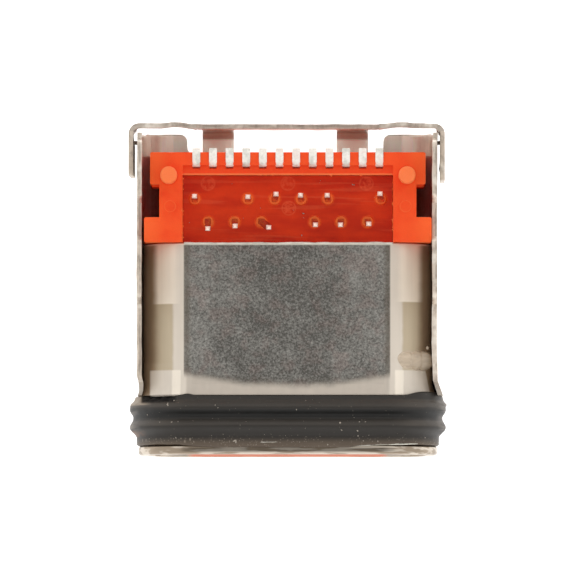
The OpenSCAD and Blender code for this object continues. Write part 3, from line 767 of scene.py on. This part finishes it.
@dataclass(frozen=True)
class PinMetal(Finish):
    """Bright sheared tips on darker, smooth plated pins."""

    tip: Colour = linear(252, 230, 218)
    shank: Colour = linear(158, 84, 58)
    wetted: Colour = linear(226, 84, 34)
    rear_row: float = 7.4

    def shade(self, spot: Spot) -> dict[str, "Wire | float | Colour"]:
        """Pale at the tip and dark down the shank."""
        fine = spot.grain(18.0, 3.0)
        tip = spot.z.rise(2.36, 2.46)
        wetted = spot.z.rise(2.0, 1.4) * spot.y.rise(self.rear_row - 0.1, self.rear_row + 0.1)
        wetted = (wetted | spot.z.rise(1.1, 0.8) * 0.8).clamp()
        base = spot.graph.blend(tip, spot.graph.blend(wetted, self.shank, self.wetted), self.tip)
        return {
            "Base Color": spot.graph.tint(base, 0.85 + 0.3 * fine),
            "Metallic": 0.7 - (0.3 * tip | wetted * 0.5),
            "Roughness": 0.14 + 0.3 * tip + 0.1 * fine,
            "Normal": spot.graph.bump(fine, 0.004, 0.5),
        }


@dataclass(frozen=True)
class BrightEdge(Finish):
    """Burrs of torn stainless, pale and partly a painted highlight along the edges."""

    edge_highlight_cream: Colour = linear(244, 240, 228)

    def shade(self, spot: Spot) -> dict[str, "Wire | float | Colour"]:
        """Cream, partly a painted highlight, with darker nicks."""
        nick = spot.grain(5.0, 3.0)
        return {"Base Color": spot.graph.tint(self.edge_highlight_cream, 0.45 + 0.6 * nick), "Roughness": 0.4 + 0.2 * nick}


@dataclass(frozen=True)
class SetGlue(Finish):
    """Set glue: cloudy, wet looking and part see-through."""

    clear: Colour = linear(202, 184, 162)

    def shade(self, spot: Spot) -> dict[str, "Wire | float | Colour"]:
        """Cloudy grey, thicker in patches."""
        cloud = spot.grain(4.0, 3.0, stretch=(0.5, 1.5, 1.0))
        shade = 1.05 - 0.3 * spot.x.rise(3.6, 4.25)
        return {
            "Base Color": spot.graph.tint(self.clear, (0.6 + 0.6 * cloud) * shade),
            "Roughness": 0.14 + 0.16 * cloud,
            "Alpha": ((0.55 + 0.5 * cloud) * spot.face_z.rise(-0.1, 0.35)).clamp(),
            "Normal": spot.graph.bump(cloud, 0.02, 0.5),
        }


@dataclass(frozen=True)
class PaleDust(Finish):
    """White lint and moulding dust."""

    white: Colour = linear(172, 162, 150)

    def shade(self, spot: Spot) -> dict[str, "Wire | float | Colour"]:
        """Uneven off-white."""
        fleck = spot.grain(20.0, 2.0)
        return {"Base Color": spot.graph.tint(self.white, 0.7 + 0.5 * fleck), "Roughness": 0.7 + 0.2 * fleck}


class Finishes(Enum):
    """The finishes of the part."""

    TUBE = DrawnSteel("drawn_steel", metallic=1.0)
    COVER = FoldedSteel("folded_steel", metallic=1.0)
    INNER = InnerSteel("plain_steel", metallic=1.0)
    RUBBER = Rubber("black_rubber", specular=0.4)
    ORANGE = OrangeMoulding("orange_plastic", specular=0.12, soft_light=0.25)
    RESIN = WetResin("wet_resin", specular=0.35)
    TIN = TinPlate("tin_plate", metallic=0.25)
    PIN = PinMetal("pin_metal")
    EDGE = BrightEdge("bright_edge", metallic=0.4)
    GLUE = SetGlue("cured_glue", specular=0.5)
    DUST = PaleDust("pale_dust")


# ---------------------------------------------------------------- building


def soften_edges(piece: bpy.types.Object, width: float) -> None:
    """Rounds the sharp edges of a piece a little.

    Args:
        piece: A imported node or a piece.
        width: Width of the rounding in millimetres.
    """
    weld = piece.modifiers.new("joined_faces", "WELD")
    weld.merge_threshold = 0.0005 * MM
    soft = piece.modifiers.new("rubbed_edges", "BEVEL")
    soft.width = width * MM
    soft.segments = 2
    soft.limit_method = "ANGLE"
    soft.angle_limit = math.radians(35)
    soft.harden_normals = True
    soft.use_clamp_overlap = True


def dress_node(name: str, finish: Finishes, edge: float = 0.0) -> None:
    """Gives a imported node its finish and, if asked, softly rounded edges.

    Args:
        name: The node's name.
        finish: Its finish.
        edge: Width of the rounding in millimetres, or 0 for none.
    """
    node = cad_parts[name]
    node.data.materials.clear()
    node.data.materials.append(finish.value.material())
    if edge:
        soften_edges(node, edge)
    LOG.info("dressed %s in %s", name, finish.name.lower())


def finished_piece(name: str, form: bmesh.types.BMesh, finish: Finishes) -> bpy.types.Object:
    """Makes a piece of the object from a mesh, dresses it and lets it ride on the body.

    Args:
        name: The piece's name.
        form: The mesh in the row frame; it is freed.
        finish: Its finish.

    Returns:
        The piece.
    """
    mesh = bpy.data.meshes.new(name)
    form.to_mesh(mesh)
    form.free()
    mesh.materials.append(finish.value.material())
    mesh.shade_smooth()
    piece = bpy.data.objects.new(name, mesh)
    bpy.context.scene.collection.objects.link(piece)
    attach(piece, BODY)
    LOG.info("built %s with %d faces", name, len(mesh.polygons))
    return piece


@dataclass(frozen=True)
class Worn:
    """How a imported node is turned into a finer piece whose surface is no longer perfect."""

    node: str
    piece: str
    finish: Finishes
    slot: str
    step: float
    edge: float

    def build(self, shift: Callable[[float, float, float], Vector]) -> bpy.types.Object:
        """Cuts the node's faces into small cells, moves their corners, and stands in for the node.

        Args:
            shift: Gives the move in millimetres at a place in the tube's frame.

        Returns:
            The piece.
        """
        form = bmesh.new()
        form.from_mesh(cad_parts[self.node].data)
        bmesh.ops.scale(form, vec=(1 / MM,) * 3, verts=form.verts)
        bmesh.ops.remove_doubles(form, verts=form.verts, dist=0.0005)
        low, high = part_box(self.node)
        for axis in range(3):
            normal = Vector([float(k == axis) for k in range(3)])
            start, end = low[axis] / MM, high[axis] / MM
            count = max(1, round((end - start) / self.step))
            for cut in range(1, count):
                place = normal * (start + (end - start) * cut / count)
                everything = form.verts[:] + form.edges[:] + form.faces[:]
                bmesh.ops.bisect_plane(form, geom=everything, dist=1e-5, plane_co=place, plane_no=normal)
        for vert in form.verts:
            own = Vector((vert.co.x, vert.co.y - PLACE.mouth_y / MM, vert.co.z - PLACE.axis_z / MM))
            vert.co = (vert.co + shift(*own)) * MM
        piece = finished_piece(self.piece, form, self.finish)
        soften_edges(piece, self.edge)
        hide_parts(self.node)
        return piece


def ease(value: float, start: float, end: float) -> float:
    """A smooth step from 0 at start to 1 at end.

    Args:
        value: The value.
        start: Where the step begins.
        end: Where it is complete; it may be the smaller.

    Returns:
        The step between 0 and 1.
    """
    share = max(0.0, min(1.0, (value - start) / (end - start)))
    return share * share * (3 - 2 * share)


def ripple(x: float, y: float, z: float, per_mm: float) -> float:
    """Smooth noise around 0.

    Args:
        x: Millimetres across.
        y: Millimetres along.
        z: Millimetres up.
        per_mm: Number of waves in a millimetre.

    Returns:
        The noise, about -1 to 1.
    """
    return noise.noise(Vector((x, y, z)) * per_mm)


def add_thread(form: bmesh.types.BMesh, places: Sequence[Sequence[float]], sides: int = 8) -> None:
    """Adds a closed, uneven thread of metal or plastic along a row of places.

    Args:
        form: The mesh that it goes into.
        places: Rows of x, y, z and radius in millimetres, in the tube's frame.
        sides: Number of sides of the thread.
    """
    rings = []
    for k, (x, y, z, radius) in enumerate(places):
        before, after = places[max(0, k - 1)], places[min(len(places) - 1, k + 1)]
        along = (Vector(after[:3]) - Vector(before[:3])).normalized()
        across = along.cross(Vector((0, 0, 1))).normalized()
        up = across.cross(along)
        ring = []
        for side in range(sides):
            turn = 2 * math.pi * side / sides
            place = Vector((x, y, z)) + (across * math.cos(turn) + up * math.sin(turn)) * radius
            ring.append(form.verts.new(PLACE.row(*place)))
        rings.append(ring)
    for here, after in zip(rings, rings[1:]):
        for k in range(sides):
            n = (k + 1) % sides
            form.faces.new((here[k], here[n], after[n], after[k]))
    form.faces.new(rings[0][::-1])
    form.faces.new(rings[-1])


def add_fleck(form: bmesh.types.BMesh, place: Vector, size: float, rng: random.Random) -> None:
    """Adds one small uneven closed fleck.

    Args:
        form: The mesh that it goes into.
        place: Its middle, in the row frame.
        size: Its half width in millimetres.
        rng: The seeded random source.
    """
    made = bmesh.ops.create_icosphere(form, subdivisions=1, radius=size * MM)
    long = rng.uniform(1.0, 2.2)
    spin = rng.uniform(0, math.pi)
    for vert in made["verts"]:
        vert.co *= rng.uniform(0.7, 1.25)
        x = vert.co.x * long
        vert.co.x, vert.co.y = (
            x * math.cos(spin) - vert.co.y * math.sin(spin),
            x * math.sin(spin) + vert.co.y * math.cos(spin),
        )
        vert.co.z *= 0.6
        vert.co += place


# ---------------------------------------------------------------- sub-assemblies


@dataclass
class MouthTube:
    """The drawn tube with its front lip, its bead, the burr on its rear edge, and thin pale strands along its front
    lip that stand for the lip edge's highlights.
    """

    edge: float = 0.008
    rear_y: float = 6.345
    flat_z: float = 1.475
    lip_y: float = 0.31
    lip_z: float = 1.6

    def dress(self) -> None:
        """Gives the tube its satin finish, its rear burr, and the pale strands of painted highlight along its front
        lip.
        """
        dress_node("mouth_tube", Finishes.TUBE, self.edge)
        form = bmesh.new()
        rear = []
        for step in range(181):
            x = -3.13 + 6.3 * step / 180
            wander = 0.02 * ripple(x, 3.0, 0.0, 1.7) + 0.008 * ripple(x, 9.0, 0.0, 7.0)
            radius = 0.03 + 0.012 * ripple(x, 5.0, 1.0, 2.6)
            lift = 0.01 * ripple(x, 1.0, 7.0, 3.0)
            rear.append((x, self.rear_y + wander, self.flat_z + lift, max(0.012, radius)))
        add_thread(form, rear)
        # Thin pale strands along the front lip's edge: painted highlights built as pieces.
        lip_glint_threads = ((-1.8, -1.35, 0.1, 0.03), (-1.0, -0.2, 0.12, 0.04), (-1.6, -0.3, 0.0, 0.0), (0.2, 0.8, 0.0, 0.0),
                   (1.9, 3.9, 0.0, 0.0))
        for start, end, back, lift in lip_glint_threads:
            lip = []
            for step in range(61):
                x = start + (end - start) * step / 60
                taper = math.sin(math.pi * step / 60) ** 0.5
                wander = 0.03 * ripple(x, 2.0, 4.0, 1.1)
                bulge = 0.08 * ease(abs(x + 0.2), 3.4, 1.5)
                lip.append((x, self.lip_y + wander - bulge + back, self.lip_z + lift, 0.008 + 0.014 * taper))
            add_thread(form, lip)
        finished_piece("tube_burrs_and_glints", form, Finishes.EDGE)


@dataclass
class Cover:
    """The folded cover with its legs, straps, rear wall and wings, bent and worn a little."""

    step: float = 0.16
    edge: float = 0.014
    wall_in: float = 4.3
    wall_out: float = 4.56
    rear_y: float = 9.8

    def shift(self, x: float, y: float, z: float) -> Vector:
        """How far the real sheet departs from the perfect one.

        Args:
            x: Millimetres across.
            y: Millimetres behind the mouth face.
            z: Millimetres above the tube's axis.

        Returns:
            The move in millimetres.
        """
        side = math.copysign(1.0, x)
        move = Vector((0.0, 0.0, 0.0))
        on_wall = self.wall_in < abs(x) < self.wall_out and y < self.rear_y
        high = ease(z, -0.6, 1.2)
        if on_wall:
            move.x += high * 0.02 * ripple(side * 7, y, z * 0.2, 1.3)
            move.x += high * 0.012 * ripple(side * 3, y, z * 0.4, 4.0)
            move.y -= 0.04 * ease(y, 9.45, 9.65) * ease(z, -1.3, -0.9)
            if side > 0:
                move.x -= high * 0.05 * ease(y, 1.9, 3.4)
                move.x += high * 0.03 * ease(y, 9.25, 9.72)
            else:
                move.x -= high * 0.015 * ease(y, 9.0, 6.0)
            if z > 0.9:
                move.z += 0.03 * ripple(side * 5, y, 0.0, 2.2)
        if y > self.rear_y:
            top = ease(z, 0.2, 1.2)
            outer = ease(abs(x), 2.6, 2.9) * ease(abs(x), 4.75, 4.5)
            move.y += 0.014 * ripple(x, 0.0, z * 0.5, 1.5) + 0.008 * ripple(x, 4.0, z * 0.5, 5.0)
            move.y += outer * (0.03 * ease(abs(abs(x) - 3.4), 0.4, 0.1) - 0.01)
            move.y += outer * max(0.0, 1.3 - z) * 0.04
            move.z += 0.02 * ripple(x, 8.0, 0.0, 2.5) * top
        if abs(x) > 4.6 and y > 8.3:
            move.x -= side * 0.05 * ease(z, 1.25, -0.2) * ease(y, 9.7, 9.3)
        if side < 0 and abs(x) > self.wall_in:
            move.x += 0.15 * ease(y, 2.4, 1.85)
        if z < -0.9 and 9.1 < y < self.rear_y and 2.9 < abs(x) < 4.6:
            move.y += 0.03 * ease(y, 9.2, 9.6) * ease(z, -1.0, -1.4)
        if z < -1.4:
            move.z += 0.008 * ripple(x, y, 2.0, 0.8)
        return move

    def build(self) -> None:
        """Builds the worn sheet."""
        Worn("cover", "worn_cover", Finishes.COVER, "cover_steel", self.step, self.edge).build(self.shift)


@dataclass
class Mouldings:
    """The housing, its two carriers, the resin in the recess, and the flash and chips on them."""

    edge: float = 0.035
    recess_half: float = 3.16
    board_z: float = 1.62
    floor_z: float = 1.01
    seed: int = 11

    def dress(self) -> None:
        """Gives the mouldings and the resin their finishes."""
        dress_node("housing", Finishes.ORANGE, self.edge)
        for name in ("tail_carrier", "pin_carrier"):
            dress_node(name, Finishes.ORANGE)
        dress_node("sealing_resin", Finishes.RESIN)
        self.build_flash()
        self.build_chips()

    def build_flash(self) -> None:
        """Adds the small nicks of flash along the columns' inner edges and the ledge's front edge."""
        rng = random.Random(self.seed)
        form = bmesh.new()
        for side in (-1, 1):
            for _ in range(13):
                y = rng.uniform(6.45, 8.35)
                inset = rng.uniform(0.0, 0.012)
                place = PLACE.row(side * (self.recess_half - inset), y, self.board_z - 0.006)
                add_fleck(form, place, rng.uniform(0.01, 0.024), rng)
        for x in (-0.86, -0.78, -0.66, -0.52, -0.45, 1.3, 2.2):
            place = PLACE.row(x, 8.39 + rng.uniform(-0.02, 0.02), self.board_z - 0.11)
            add_fleck(form, place, rng.uniform(0.014, 0.03), rng)
        finished_piece("moulding_flash", form, Finishes.ORANGE)

    def build_chips(self) -> None:
        """Adds the pale chips that lie in the resin."""
        rng = random.Random(self.seed + 1)
        form = bmesh.new()
        for x, y, size in ((1.95, 8.13, 0.022), (2.0, 8.12, 0.018), (0.47, 7.26, 0.02), (0.42, 6.6, 0.018)):
            add_fleck(form, PLACE.row(x, y, self.floor_z + 0.004), size, rng)
        for _ in range(10):
            place = PLACE.row(rng.uniform(-3, 3), rng.uniform(6.5, 8.3), self.floor_z + 0.003)
            add_fleck(form, place, rng.uniform(0.006, 0.012), rng)
        finished_piece("recess_chips", form, Finishes.DUST)


@dataclass
class Contacts:
    """The tails, the pins and the steel between them."""

    count: int = 12
    edge: float = 0.01
    pin_edge: float = 0.024

    tail_half: float = 0.119
    recess_floor: float = 1.0
    tip_z: float = 2.56
    tip_share: float = 0.86
    rear_row: float = 7.4

    def tail_shift(self, node: str) -> Callable[[float, float, float], Vector]:
        """Evens out a tail's width where it is seen, as the plating does.

        Args:
            node: The contact's node.

        Returns:
            The shift for Worn.
        """
        low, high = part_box(node)
        middle = (low[0] + high[0]) / 2 / MM

        def shift(x: float, y: float, z: float) -> Vector:
            half = abs(x - middle)
            if z < 1.3 or half < 0.05:
                return Vector()
            return Vector((math.copysign(self.tail_half - half, x - middle), 0.0, 0.0))

        return shift

    def pin_shift(self, node: str) -> Callable[[float, float, float], Vector]:
        """Rubs a pin's tip a little thinner and sets the rear row's pins more upright.

        Args:
            node: The contact's node.

        Returns:
            The shift for Worn.
        """
        places = [Vector(v.co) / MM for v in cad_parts[node].data.vertices]
        top = max(place.z for place in places)
        tip = [place for place in places if place.z > top - 0.05]
        tip_x = sum(place.x for place in tip) / len(tip)
        tip_y = sum(place.y for place in tip) / len(tip) - PLACE.mouth_y / MM

        def shift(x: float, y: float, z: float) -> Vector:
            rise = max(0.0, (z - self.recess_floor) / (self.tip_z - self.recess_floor))
            thinner = (self.tip_share - 1) * ease(z, 2.2, 2.5)
            upright = -0.04 * rise if tip_y > self.rear_row else 0.0
            return Vector(((x - tip_x) * thinner, (y - tip_y) * thinner + upright, 0.0))

        return shift

    def dress(self) -> None:
        """Gives the contacts their tin and the inner plates their steel."""
        for number in range(1, self.count + 1):
            tail = Worn(
                f"contact_a{number}", f"worn_tail_{number}", Finishes.TIN, "tinned_strip", 9.0, self.edge
            )
            tail.build(self.tail_shift(tail.node))
            pin = Worn(
                f"contact_b{number}", f"worn_pin_{number}", Finishes.PIN, "tinned_strip", 0.3, self.pin_edge
            )
            pin.build(self.pin_shift(pin.node))
        for name in ("mid_plate", "board_side_pad", "cover_side_pad"):
            dress_node(name, Finishes.INNER)


@dataclass
class SealingRing:
    """The rubber ring with two lips, torn at one rear corner, and the dust on it."""

    end_x: float = 2.89
    tube_r: float = 1.48
    inner_r: float = 1.49
    end_height: float = 0.19
    saddle_height: float = 0.24
    lip_height: float = 0.4
    lip_r: float = 0.15
    front: float = 0.29
    length: float = 1.48
    first_lip: float = 0.85
    lip_pitch: float = 0.555
    waver: float = 0.01
    tear_turn: tuple[float, float] = (math.radians(105), math.radians(152))
    tear_depth: float = 0.2
    front_bulge: float = 0.1
    flat_steps: int = 150
    end_steps: int = 90
    depth_steps: int = 96
    specks: int = 70
    seed: int = 5
    crumbs: tuple[tuple[float, float, float], ...] = (
        (-3.63, 1.47, 0.024),
        (-3.44, 1.6, 0.026),
        (-4.35, 1.2, 0.02),
        (-3.9, 0.96, 0.014),
        (-3.5, 0.96, 0.018),
        (-3.3, 0.97, 0.014),
        (-2.18, 1.46, 0.018),
        (-2.1, 1.38, 0.014),
        (-1.6, 0.44, 0.03),
        (-1.56, 0.42, 0.024),
        (1.57, 0.93, 0.03),
        (1.61, 0.72, 0.018),
        (2.09, 0.7, 0.024),
        (2.11, 0.55, 0.018),
        (2.15, 0.96, 0.022),
        (2.33, 0.96, 0.018),
        (2.27, 0.42, 0.014),
        (0.26, 1.33, 0.016),
        (1.2, 0.36, 0.018),
        (2.7, 0.4, 0.016),
    )

    def height(self, y: float) -> float:
        """Height of the ring over the tube.

        Args:
            y: Depth behind the mouth face.

        Returns:
            The height in millimetres, with round lips, a saddle between them and straight flanks.
        """
        rear_lip = self.first_lip + self.lip_pitch
        height = self.saddle_height if self.first_lip < y < rear_lip else self.end_height
        for lip in (self.first_lip, rear_lip):
            away = abs(y - lip)
            middle = self.lip_height - self.lip_r
            if away < self.lip_r * math.sqrt(0.5):
                height = max(height, middle + math.sqrt(self.lip_r**2 - away**2))
            else:
                height = max(height, middle + self.lip_r * math.sqrt(2) - away)
        return height

    def profile(self) -> list[tuple[float, float]]:
        """The ring's outline from its front foot to its rear foot.

        Returns:
            Pairs of radius and depth.
        """
        rear = self.front + self.length
        points = [(self.inner_r, self.front + 0.02), (self.inner_r + 0.05, self.front)]
        for step in range(self.depth_steps + 1):
            y = self.front + self.length * step / self.depth_steps
            near = [self.height(y + offset * 0.02) for offset in (-2, -1, 0, 1, 2)]
            corner = max(0.0, min(1.0, (y - self.front) / 0.06, (rear - y) / 0.06))
            top = self.tube_r + sum(near) / len(near)
            round_off = 0.06 * (1 - math.sqrt(1 - (1 - corner) ** 2))
            points.append((top - round_off, y))
        points += [(self.inner_r + 0.05, rear), (self.inner_r, rear - 0.02)]
        return points

    def path(self) -> list[tuple[float, float]]:
        """The stadium that the profile runs round.

        Returns:
            For each step the centre's x, and the direction's angle from +X in the XZ plane.
        """
        steps: list[tuple[float, float]] = []
        for side in (1, -1):
            for step in range(self.end_steps):
                steps.append((side * self.end_x, -side * math.pi / 2 + math.pi * step / self.end_steps))
            for step in range(self.flat_steps):
                steps.append((side * self.end_x * (1 - 2 * step / self.flat_steps), side * math.pi / 2))
        return [(x, turn % (2 * math.pi)) for x, turn in steps]

    def surface(self, centre: float, turn: float, radius: float, y: float) -> Vector:
        """A point of the worn surface.

        Args:
            centre: x of the end's middle, or of the place on the flat.
            turn: Angle from +X in the XZ plane.
            radius: The profile's radius there.
            y: The profile's depth there.

        Returns:
            The point in the row frame, in metres.
        """
        raised = max(0.0, min(1.0, (radius - self.inner_r) / 0.1))
        x = centre + radius * math.cos(turn)
        z = radius * math.sin(turn)
        radius += raised * self.waver * (ripple(x, y * 2, z, 0.9) + 0.5 * ripple(x, y, z, 5.0) - 0.8)
        if y < 0.55 and radius > 1.6:
            bulge = self.front_bulge * ease(abs(x + 0.3), 3.6, 1.6) + 0.02 * ripple(x, 0.0, z, 2.0)
            y -= bulge * ease(y, 0.55, 0.3)
        end_part = raised * ease(abs(x), 3.0, 4.2)
        between = ease(y, self.first_lip + 0.08, 1.1) * ease(y, 1.4, 1.16)
        radius += end_part * between * 0.05
        radius += end_part * ease(y, 1.44, 1.56) * (0.1 if x > 0 else 0.05)
        ragged_edge = 0.05 * ease(abs(x + 3.02), 0.3, 0.0) + 0.12 * ease(x, 3.4, 4.0)
        y += raised * ragged_edge * ease(y, 1.6, 1.74)
        start, end = self.tear_turn
        if start < turn < end and centre < 0:
            across = math.sin(math.pi * (turn - start) / (end - start)) ** 0.6
            ragged = 0.8 + 0.5 * ripple(turn * 9, y * 6, 3.0, 1.0)
            behind = ease(y, 1.52, 1.64)
            radius -= raised * behind * across * ragged * self.tear_depth
            y -= raised * max(0.0, y - 1.58) * across * ragged * 0.4
        return PLACE.row(centre + radius * math.cos(turn), y, radius * math.sin(turn))

    def build(self) -> None:
        """Builds the ring and its dust, and stands the ring in for its plain solid."""
        profile, path = self.profile(), self.path()
        form = bmesh.new()
        rings = [[form.verts.new(self.surface(cx, turn, r, y)) for r, y in profile] for cx, turn in path]
        for here, after in zip(rings, rings[1:] + rings[:1]):
            for k in range(len(profile)):
                n = (k + 1) % len(profile)
                form.faces.new((here[k], here[n], after[n], after[k]))
        bmesh.ops.recalc_face_normals(form, faces=form.faces)
        ring = finished_piece("rubber_ring", form, Finishes.RUBBER)
        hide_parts("sealing_ring")
        self.build_dust()

    def build_dust(self) -> None:
        """Scatters small flecks over the ring's upper side, most of them near its front edge."""
        rng = random.Random(self.seed)
        form = bmesh.new()
        profile = self.profile()
        for x, y, size in self.crumbs:
            radius = self.tube_r + self.height(y)
            along = max(-self.end_x, min(self.end_x, x))
            turn = math.pi / 2 - max(-1.0, min(1.0, (x - along) / radius))
            add_fleck(form, self.surface(along, turn, radius, y), size, rng)
        for _ in range(self.specks):
            near_front = rng.random() < 0.6
            k = rng.randint(4, 22) if near_front else rng.randint(23, 90)
            radius, y = profile[k]
            if rng.random() < 0.7:
                centre, turn = rng.uniform(-self.end_x, self.end_x), math.pi / 2
            elif rng.random() < 0.5:
                centre, turn = self.end_x, rng.uniform(math.radians(20), math.pi / 2)
            else:
                centre, turn = -self.end_x, rng.uniform(math.pi / 2, math.radians(160))
            size = rng.uniform(0.004, 0.01) * (2.0 if rng.random() < 0.12 else 1.0)
            add_fleck(form, self.surface(centre, turn, radius, y), size, rng)
        finished_piece("ring_dust", form, Finishes.DUST)


@dataclass
class GlueDrop:
    """The set drop of glue beside the tube, pulled over the groove between tube and wall."""

    middle: tuple[float, float, float] = (3.84, 2.84, 1.04)
    balls: tuple[tuple[float, float, float, float], ...] = (
        (3.52, 2.85, 1.18, 0.28),
        (3.82, 2.83, 1.06, 0.3),
        (4.06, 2.82, 0.96, 0.3),
    )
    bead: tuple[float, float, float, float] = (4.2, 3.2, 1.2, 0.05)
    wall_x: float = 4.368
    tube_r: float = 1.492
    tube_x: float = 2.89

    def build(self) -> None:
        """Builds the drop as one rounded skin and stands it in for its plain solid."""
        form = bmesh.new()
        bmesh.ops.create_icosphere(form, subdivisions=5, radius=1.0)
        middle = Vector(self.middle)
        for vert in form.verts:
            direction = vert.co.normalized()
            reach = 0.0
            for x, y, z, radius in self.balls:
                offset = Vector((x, y, z)) - middle
                along = direction.dot(offset)
                inside = radius * radius - (offset.length_squared - along * along)
                if inside > 0:
                    reach = max(reach, along + math.sqrt(inside))
            reach *= 1 + 0.05 * noise.noise(direction * 2.3)
            point = middle + direction * reach
            point.x = min(point.x, self.wall_x)
            out = Vector((point.x - self.tube_x, 0, point.z))
            if out.length < self.tube_r and point.x > self.tube_x:
                out *= self.tube_r / out.length
                point.x, point.z = self.tube_x + out.x, out.z
            vert.co = PLACE.row(point.x, point.y, point.z)
        *place, radius = self.bead
        add_fleck(form, PLACE.row(*place), radius, random.Random(3))
        piece = finished_piece("glue_drop", form, Finishes.GLUE)
        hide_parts("glue_blob")


# ---------------------------------------------------------------- studio


@dataclass
class Studio:
    """The pale floor, the soft dome of light and the camera."""

    view_width: float = 17.32
    distance: float = 600.0
    tilt: float = math.radians(2.3)
    target: tuple[float, float, float] = (-0.01, 5.07, 0.0)
    floor_half: float = 0.4
    overhead: float = 0.2
    around: float = 1.15

    def build(self) -> None:
        """Builds the floor, the light and the camera."""
        self.build_floor()
        self.build_light()
        self.build_camera()

    def build_floor(self) -> None:
        """Lays a pale floor that shows white and keeps the object's shadow."""
        form = bmesh.new()
        bmesh.ops.create_grid(form, x_segments=8, y_segments=8, size=self.floor_half)
        mesh = bpy.data.meshes.new("pale_floor")
        form.to_mesh(mesh)
        form.free()
        floor = bpy.data.objects.new("pale_floor", mesh)
        floor.location.z = -0.02 * MM
        bpy.context.scene.collection.objects.link(floor)
        material = bpy.data.materials.new("pale_floor")
        material.use_nodes = True
        graph = Graph(material.node_tree)
        rays = graph.add("ShaderNodeLightPath")
        seen = Wire(graph, rays.outputs["Is Camera Ray"]) | Wire(graph, rays.outputs["Is Glossy Ray"])
        seen = seen | Wire(graph, rays.outputs["Is Transmission Ray"])
        matt = graph.node("ShaderNodeBsdfDiffuse", None, {"Color": (0.8, 0.8, 0.8)})
        glow = graph.node("ShaderNodeEmission", None, {"Color": (1.0, 1.0, 1.0), "Strength": seen * 0.78})
        both = graph.node("ShaderNodeAddShader", None, {0: matt, 1: glow})
        graph.add("ShaderNodeOutputMaterial", None, {"Surface": both})
        mesh.materials.append(material)

    def build_light(self) -> None:
        """Lights the object by a soft dome that is darker straight above, where the camera stands."""
        world = bpy.data.worlds.new("soft_dome")
        bpy.context.scene.world = world
        world.use_nodes = True
        graph = Graph(world.node_tree)
        direction = graph.node("ShaderNodeTexCoord", out="Generated")
        split = graph.add("ShaderNodeSeparateXYZ", None, {0: direction})
        height = Wire(graph, split.outputs[2])
        opening = height.rise(0.9, 0.975)
        strength = self.around + opening * (self.overhead - self.around)
        light = graph.node("ShaderNodeBackground", None, {"Color": (1.0, 0.99, 0.97), "Strength": strength})
        graph.add("ShaderNodeOutputWorld", None, {"Surface": light})

    def build_camera(self) -> None:
        """Sets a long lens that looks down on the part from just in front of it."""
        lens = bpy.data.cameras.new("long_lens")
        lens.sensor_width = 36.0
        lens.lens = lens.sensor_width * self.distance / self.view_width
        lens.clip_start = 0.05
        lens.clip_end = 5.0
        camera = bpy.data.objects.new("camera", lens)
        bpy.context.scene.collection.objects.link(camera)
        back = Vector((0.0, -math.sin(self.tilt), math.cos(self.tilt)))
        camera.location = PLACE.row(*self.target) + back * self.distance * MM
        camera.rotation_mode = "QUATERNION"
        camera.rotation_quaternion = (-back).to_track_quat("-Z", "Y")
        bpy.context.scene.camera = camera


def main() -> None:
    """Builds and dresses the sub-assemblies in order, then the studio."""
    logging.basicConfig(level=logging.INFO, format="%(message)s")
    bpy.context.scene.view_settings.view_transform = "Standard"
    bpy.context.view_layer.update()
    for assembly in (MouthTube(), Mouldings(), Contacts()):
        assembly.dress()
    for assembly in (Cover(), SealingRing(), GlueDrop(), Studio()):
        assembly.build()


if __name__ == "__main__":
    main()
